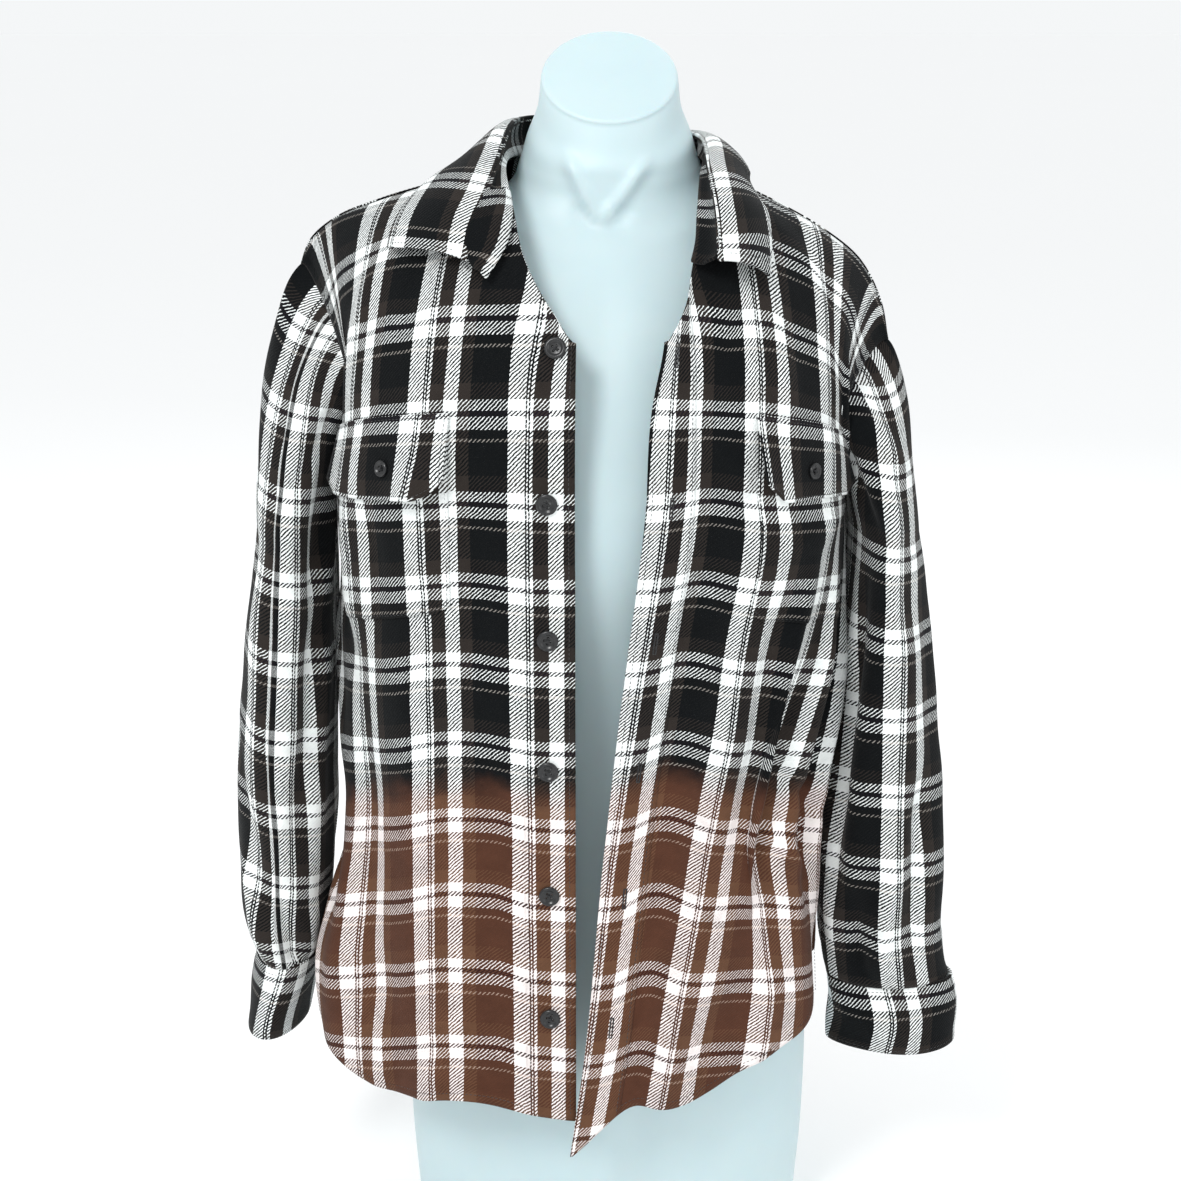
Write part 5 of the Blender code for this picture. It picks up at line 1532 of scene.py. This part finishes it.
for side in (RIGHT, LEFT):
    word = side_word(side)
    grid, _, _ = flap_grid(side)
    place, outward = spot(grid, (FLAP_ROWS - 1) * 0.63, (FLAP_COLUMNS - 1) * 0.41)
    make_button(f"flap_button_{word}", place, outward * (-1 if side == RIGHT else 1),
                SMALL_BUTTON_RADIUS, 20)
    grid, _ = cuff_grid(side)
    lapped = (1 + CUFF_LAP * 0.5) / (1 + CUFF_LAP)
    place, outward = spot(grid, CUFF_ROWS // 2, (CUFF_COLUMNS - 1) * lapped)
    make_button(f"cuff_button_{word}", place + outward * side * -0.0008,
                outward * -side, SMALL_BUTTON_RADIUS, 40)
place, outward = spot(stand, 7, 7)
outward = outward * np.sign(outward @ ([0, 0.2, 0.60] - place))
make_button("collar_button", place, outward, SMALL_BUTTON_RADIUS, 15)
print("buttons: six in front, two on flaps, two on cuffs, one on the collar")

# %% [markdown]
# ## Sewing
# Lockstitch shows on the face as a row of short, slightly sunk dashes. Each one here is a small
# lens of black thread that lies on the cloth, so that the seams keep their relief from any side.
# A buttonhole is the same thread packed side by side around a slit.

# %% Stitches
STITCH, STITCH_GAP = 0.0023, 0.0009
THREAD_HALF, THREAD_HIGH = 0.00024, 0.00020
LENS = ([(0, a, b) for a, b in zip((2, 3, 4, 5), (3, 4, 5, 2))]
        + [(a, a + 4, b + 4, b) for a, b in zip((2, 3, 4, 5), (3, 4, 5, 2))]
        + [(1, b + 4, a + 4) for a, b in zip((2, 3, 4, 5), (3, 4, 5, 2))])


def lenses(starts, ends, up, half, high):
    """Corner points of one small lens of thread from each start to its end: (n, 10, 3)."""
    aside = unit(np.cross(up, ends - starts))
    ring = [aside * half, up * high, -aside * half, -up * high]
    corners = [starts, ends]
    corners += [starts + (ends - starts) * share + way for share in (0.24, 0.76) for way in ring]
    return np.stack(corners, 1)


def row_of_stitches(points, up):
    """Lenses along a line of points; up is the way out of the cloth."""
    run = length_along(points)
    begin = np.arange(0.0006, run[-1] - STITCH, STITCH + STITCH_GAP)
    read = [np.stack([np.interp(begin + more, run, line[:, k]) for k in range(3)], -1)
            for more, line in ((0, points), (STITCH, points), (STITCH / 2, up))]
    return lenses(read[0], read[1], unit(read[2]), THREAD_HALF, THREAD_HIGH)


def thread_mesh(name, groups):
    """One object from many groups of lenses."""
    corners = np.concatenate(groups)
    faces = [tuple(10 * i + k for k in face) for i in range(len(corners)) for face in LENS]
    mesh = bpy.data.meshes.new(name)
    mesh.from_pydata(corners.reshape(-1, 3).tolist(), [], faces)
    mesh.shade_smooth()
    print(name, len(corners), "stitches")
    return new_object(name, mesh, cotton)


def seam_on_body(side, across, down, back=False, lift=0.0):
    return row_of_stitches(*on_body(side, across, down, back, lift + CLOTH / 2))


def seam_on_grid(points, flip, part, thick):
    """A seam along part of a grid, on the face that looks outward."""
    up = normals(points) * (-1 if flip else 1)
    return row_of_stitches((points + up * thick / 2)[part], up[part])


SEAM_IN = 0.003           # distance of a seam from the edge it holds
fine = np.linspace(0, 1, 160)
for side in (RIGHT, LEFT):
    word = side_word(side)
    rows = []
    for across in (SEAM_IN, BAND_WIDTH - SEAM_IN):
        top = float(front_top(across / FRONT_WIDTH)) + SEAM_IN
        end = float(front_hem(side, across / FRONT_WIDTH)) - SEAM_IN
        rows.append(seam_on_body(side, across, top + (end - top) * fine,
                                 lift=SHEET_LIFT + CLOTH * 0.1))
    hem_across = BAND_WIDTH + (FRONT_WIDTH - BAND_WIDTH) * fine
    hem = front_hem(side, hem_across / FRONT_WIDTH) - HEM_SEAM
    rows.append(seam_on_body(side, hem_across, hem))
    inner, outer = POCKET["inner"] + 0.002, POCKET["outer"] - 0.002
    corner, low = POCKET_CORNER, POCKET["bottom"] - 0.002
    outline = np.array([(inner, FLAP_TOP + 0.03), (inner, low - corner / 2), (inner + corner, low),
                        (outer - corner, low), (outer, low - corner / 2), (outer, FLAP_TOP + 0.03)])
    reach = np.append(0, np.cumsum(np.hypot(*np.diff(outline, axis=0).T)))
    around = [np.interp(fine * reach[-1], reach, outline[:, k]) for k in (0, 1)]
    rows.append(seam_on_body(side, *around, lift=SHEET_LIFT))
    for across in (FRONT_WIDTH - 0.004, FRONT_WIDTH - 0.0095):
        rows.append(seam_on_body(side, across, 0.075 + (CHEST_DOWN - 0.075) * fine, lift=0.0008))
    rows.append(seam_on_body(side, FRONT_WIDTH - SEAM_IN, CHEST_DOWN + 0.40 * fine, lift=0.0008))
    rows.append(seam_on_body(side, FRONT_WIDTH - 0.004, YOKE_DOWN + 0.004 + 0.16 * fine, back=True))
    back_across = FRONT_WIDTH * fine
    hem = back_hem(back_across / FRONT_WIDTH) - HEM_SEAM
    rows.append(seam_on_body(side, back_across, hem, back=True))
    points, _, flip = flap_grid(side)
    for part in (np.s_[1], np.s_[-2], np.s_[:, 1], np.s_[:, -2]):
        rows.append(seam_on_grid(points, flip, part, CLOTH * 1.5))
    points, _ = cuff_grid(side)
    for part in (np.s_[2], np.s_[-2], np.s_[1:, -3]):
        rows.append(seam_on_grid(points, side == LEFT, part, CUFF_THICK))
    thread_mesh(f"stitches_{word}", rows)

points, _ = back_panel(yoke_down, SHEET_LIFT, YOKE_ROWS)
bare = np.abs(np.linspace(-FRONT_WIDTH, FRONT_WIDTH, points.shape[1])) > NECK_ACROSS + 0.008
rows = [seam_on_grid(points, True, np.s_[-2], CLOTH)]
rows += [seam_on_grid(points[:, half], True, np.s_[1], CLOTH)
         for half in (np.flatnonzero(bare)[:bare.sum() // 2], np.flatnonzero(bare)[bare.sum() // 2:])]
leaf_share = 1 - 0.005 / leaf_run[-1]
up = normals(leaf)
up *= np.sign((up * away).sum(-1, keepdims=True))
on_leaf = leaf + up * COLLAR_THICK / 2
edge_seam = at_length(np.swapaxes(on_leaf, 0, 1), leaf_share)
rows.append(row_of_stitches(edge_seam[2:-2], up[-3, 2:-2]))
for column in (2, -3):
    rows.append(row_of_stitches(on_leaf[8:-2, column], up[8:-2, column]))
thread_mesh("stitches_yoke_and_collar", rows)

# %% Buttonholes
HOLE_LONG, HOLE_HALF, HOLE_CELL = 0.0150, 0.0016, 0.00042


def buttonhole(side, across, down):
    """Packed stitches either side of a slit that runs down the band, and a bar at each end."""
    count = int(HOLE_LONG / HOLE_CELL)
    place, up = on_body(side, across, down + HOLE_LONG * (np.linspace(0, 1, count) - 0.5),
                        lift=SHEET_LIFT + CLOTH * 0.62)
    aside = unit(np.cross(up, unit(np.gradient(place, axis=0))))
    groups = [lenses(place + aside * HOLE_HALF * way * 0.16, place + aside * HOLE_HALF * way,
                     up, HOLE_CELL * 0.55, 0.00030) for way in (-1, 1)]
    for end in (place[0], place[-1]):
        bar = end + aside[0] * HOLE_HALF * np.array([[-1.05], [1.05]])
        groups.append(lenses(bar[:1], bar[1:], up[:1], 0.00045, 0.00040))
    return groups


holes = []
for number in range(len(SPINS)):
    down = FIRST_BUTTON_DOWN + BUTTON_PITCH * number
    holes += buttonhole(LEFT, BUTTON_ACROSS, down + 0.004)
thread_mesh("buttonholes", holes)

# %% [markdown]
# ## The display form
# A torso form is moulded in pale polyethylene: a soft gloss, a very faint unevenness, and light
# that sinks in a little. It is built again from level rings, finer than its CAD solid, so that the
# neck's cut has a rounded rim and the collar bones show as a soft relief.

# %% Display form
shell, tree, shader = new_material("moulded_polyethylene", 0.46, IOR=1.48,
                                   Subsurface_Weight=0.12, Subsurface_Scale=0.006)
here = add(tree, "ShaderNodeTexCoord").outputs["Object"]
tint = add(tree, "ShaderNodeMix", {"Factor": noise(tree, here, 9.0, 0.0, 1.0, detail=4.0),
                                   "A": linear("#b4cad0"), "B": linear("#c4d6d8")},
           data_type="RGBA")
skin = add(tree, "ShaderNodeBump", {"Strength": 0.08, "Distance": 0.0006,
                                    "Height": noise(tree, here, 260.0, 0.0, 1.0)})
plug(tree, shader, {"Base Color": tint, "Normal": skin})

# %% Form's shape
FORM = table("z y half_width front back tilt", [
    (0.000, 0.005, 0.150, 0.086, 0.094, 0), (0.100, 0.004, 0.156, 0.093, 0.098, 0),
    (0.180, 0.003, 0.155, 0.094, 0.096, 0), (0.280, 0.001, 0.138, 0.086, 0.084, 0),
    (0.370, 0.000, 0.126, 0.082, 0.077, 0), (0.480, 0.000, 0.134, 0.094, 0.082, 0),
    (0.590, -0.003, 0.146, 0.113, 0.087, 0), (0.670, -0.002, 0.155, 0.102, 0.089, 0),
    (0.725, 0.001, 0.164, 0.083, 0.085, 0), (0.757, 0.004, 0.163, 0.066, 0.075, 0),
    (0.780, 0.007, 0.140, 0.055, 0.063, 3), (0.798, 0.009, 0.108, 0.048, 0.054, 6),
    (0.815, 0.010, 0.0740, 0.046, 0.047, 10), (0.835, 0.011, 0.0628, 0.0485, 0.0470, 18),
    (0.850, 0.011, 0.0580, 0.0510, 0.0490, 24), (0.865, 0.011, 0.0515, 0.0515, 0.0495, 31),
    (0.889, 0.010, 0.0478, 0.0500, 0.0500, 37)])
FORM_X = 0.0028
FORM_SIDES, FORM_RINGS = 120, 150
RIM = 0.0028              # radius of the cap's edge
# The moulded relief in front: neck muscles that meet over the breastbone, then the collar bones.
RELIEF = table("x z x_end z_end wide high", [
    (-0.0290, 0.8420, -0.0050, 0.7930, 0.0048, 0.0040),
    (0.0310, 0.8390, -0.0020, 0.7930, 0.0048, 0.0040),
    (-0.0190, 0.8080, -0.0080, 0.7860, 0.0060, -0.0030),
    (0.0150, 0.8080, 0.0030, 0.7860, 0.0060, -0.0030),
    (-0.0300, 0.7860, -0.1100, 0.7960, 0.0085, 0.0026),
    (0.0260, 0.7860, 0.1120, 0.7960, 0.0085, 0.0026),
    (-0.0035, 0.7750, -0.0035, 0.6400, 0.0120, -0.0024)])


def make_form():
    """Rings from the flat base to the sloping cut of the neck, whose rim is rounded."""
    even = np.linspace(0, 1, len(FORM["z"]))
    heights = curve(even, FORM["z"], np.linspace(0, 1, FORM_RINGS))
    angle = 2 * math.pi * np.arange(FORM_SIDES) / FORM_SIDES
    rounding = [(RIM * (1 - math.cos(a)), RIM * math.sin(a))
                for a in np.linspace(0, math.pi / 2, 8)[1:]]
    rows = ([(z, 0.0, 0.0) for z in heights] + [(heights[-1], *step) for step in rounding]
            + [(heights[-1], inset, RIM) for inset in (0.006, 0.016, 0.030)])
    rings = []
    for z, inset, up in rows:
        row = read_table(FORM, "z", z)
        tilt = math.radians(row["tilt"])
        depth = (np.where(np.sin(angle) < 0, row["front"], row["back"]) - inset) * np.sin(angle)
        rings.append(np.stack([FORM_X + (row["half_width"] - inset) * np.cos(angle),
                               row["y"] + depth * math.cos(tilt) - up * math.sin(tilt),
                               row["z"] + depth * math.sin(tilt) + up * math.cos(tilt)], -1))
    points = np.array(rings)
    front = ease(0.0, -0.03, points[..., 1])
    for x0, z0, x1, z1, wide, high in zip(*RELIEF.values()):
        run_x, run_z = x1 - x0, z1 - z0
        length = math.hypot(run_x, run_z)
        along = ((points[..., 0] - x0) * run_x + (points[..., 2] - z0) * run_z) / length ** 2
        off = ((points[..., 2] - z0) * run_x - (points[..., 0] - x0) * run_z) / length
        fade = ease(-0.1, 0.35, along) * (1 - ease(0.75, 1.15, along))
        points[..., 1] -= high * np.exp(-(off / wide) ** 2) * fade * front
    sides = FORM_SIDES
    count = len(points)
    faces = [(r * sides + i, r * sides + (i + 1) % sides, (r + 1) * sides + (i + 1) % sides,
              (r + 1) * sides + i) for r in range(count - 1) for i in range(sides)]
    faces.append(tuple(range(sides))[::-1])
    faces.append(tuple(range((count - 1) * sides, count * sides)))
    mesh = bpy.data.meshes.new("torso_form_shell")
    mesh.from_pydata(points.reshape(-1, 3).tolist(), [], faces)
    mesh.shade_smooth()
    mesh.set_sharp_from_angle(angle=math.radians(50))
    new_object("torso_form_shell", mesh, shell, ("torso_form",))


make_form()
print("form finished as", shell.name)
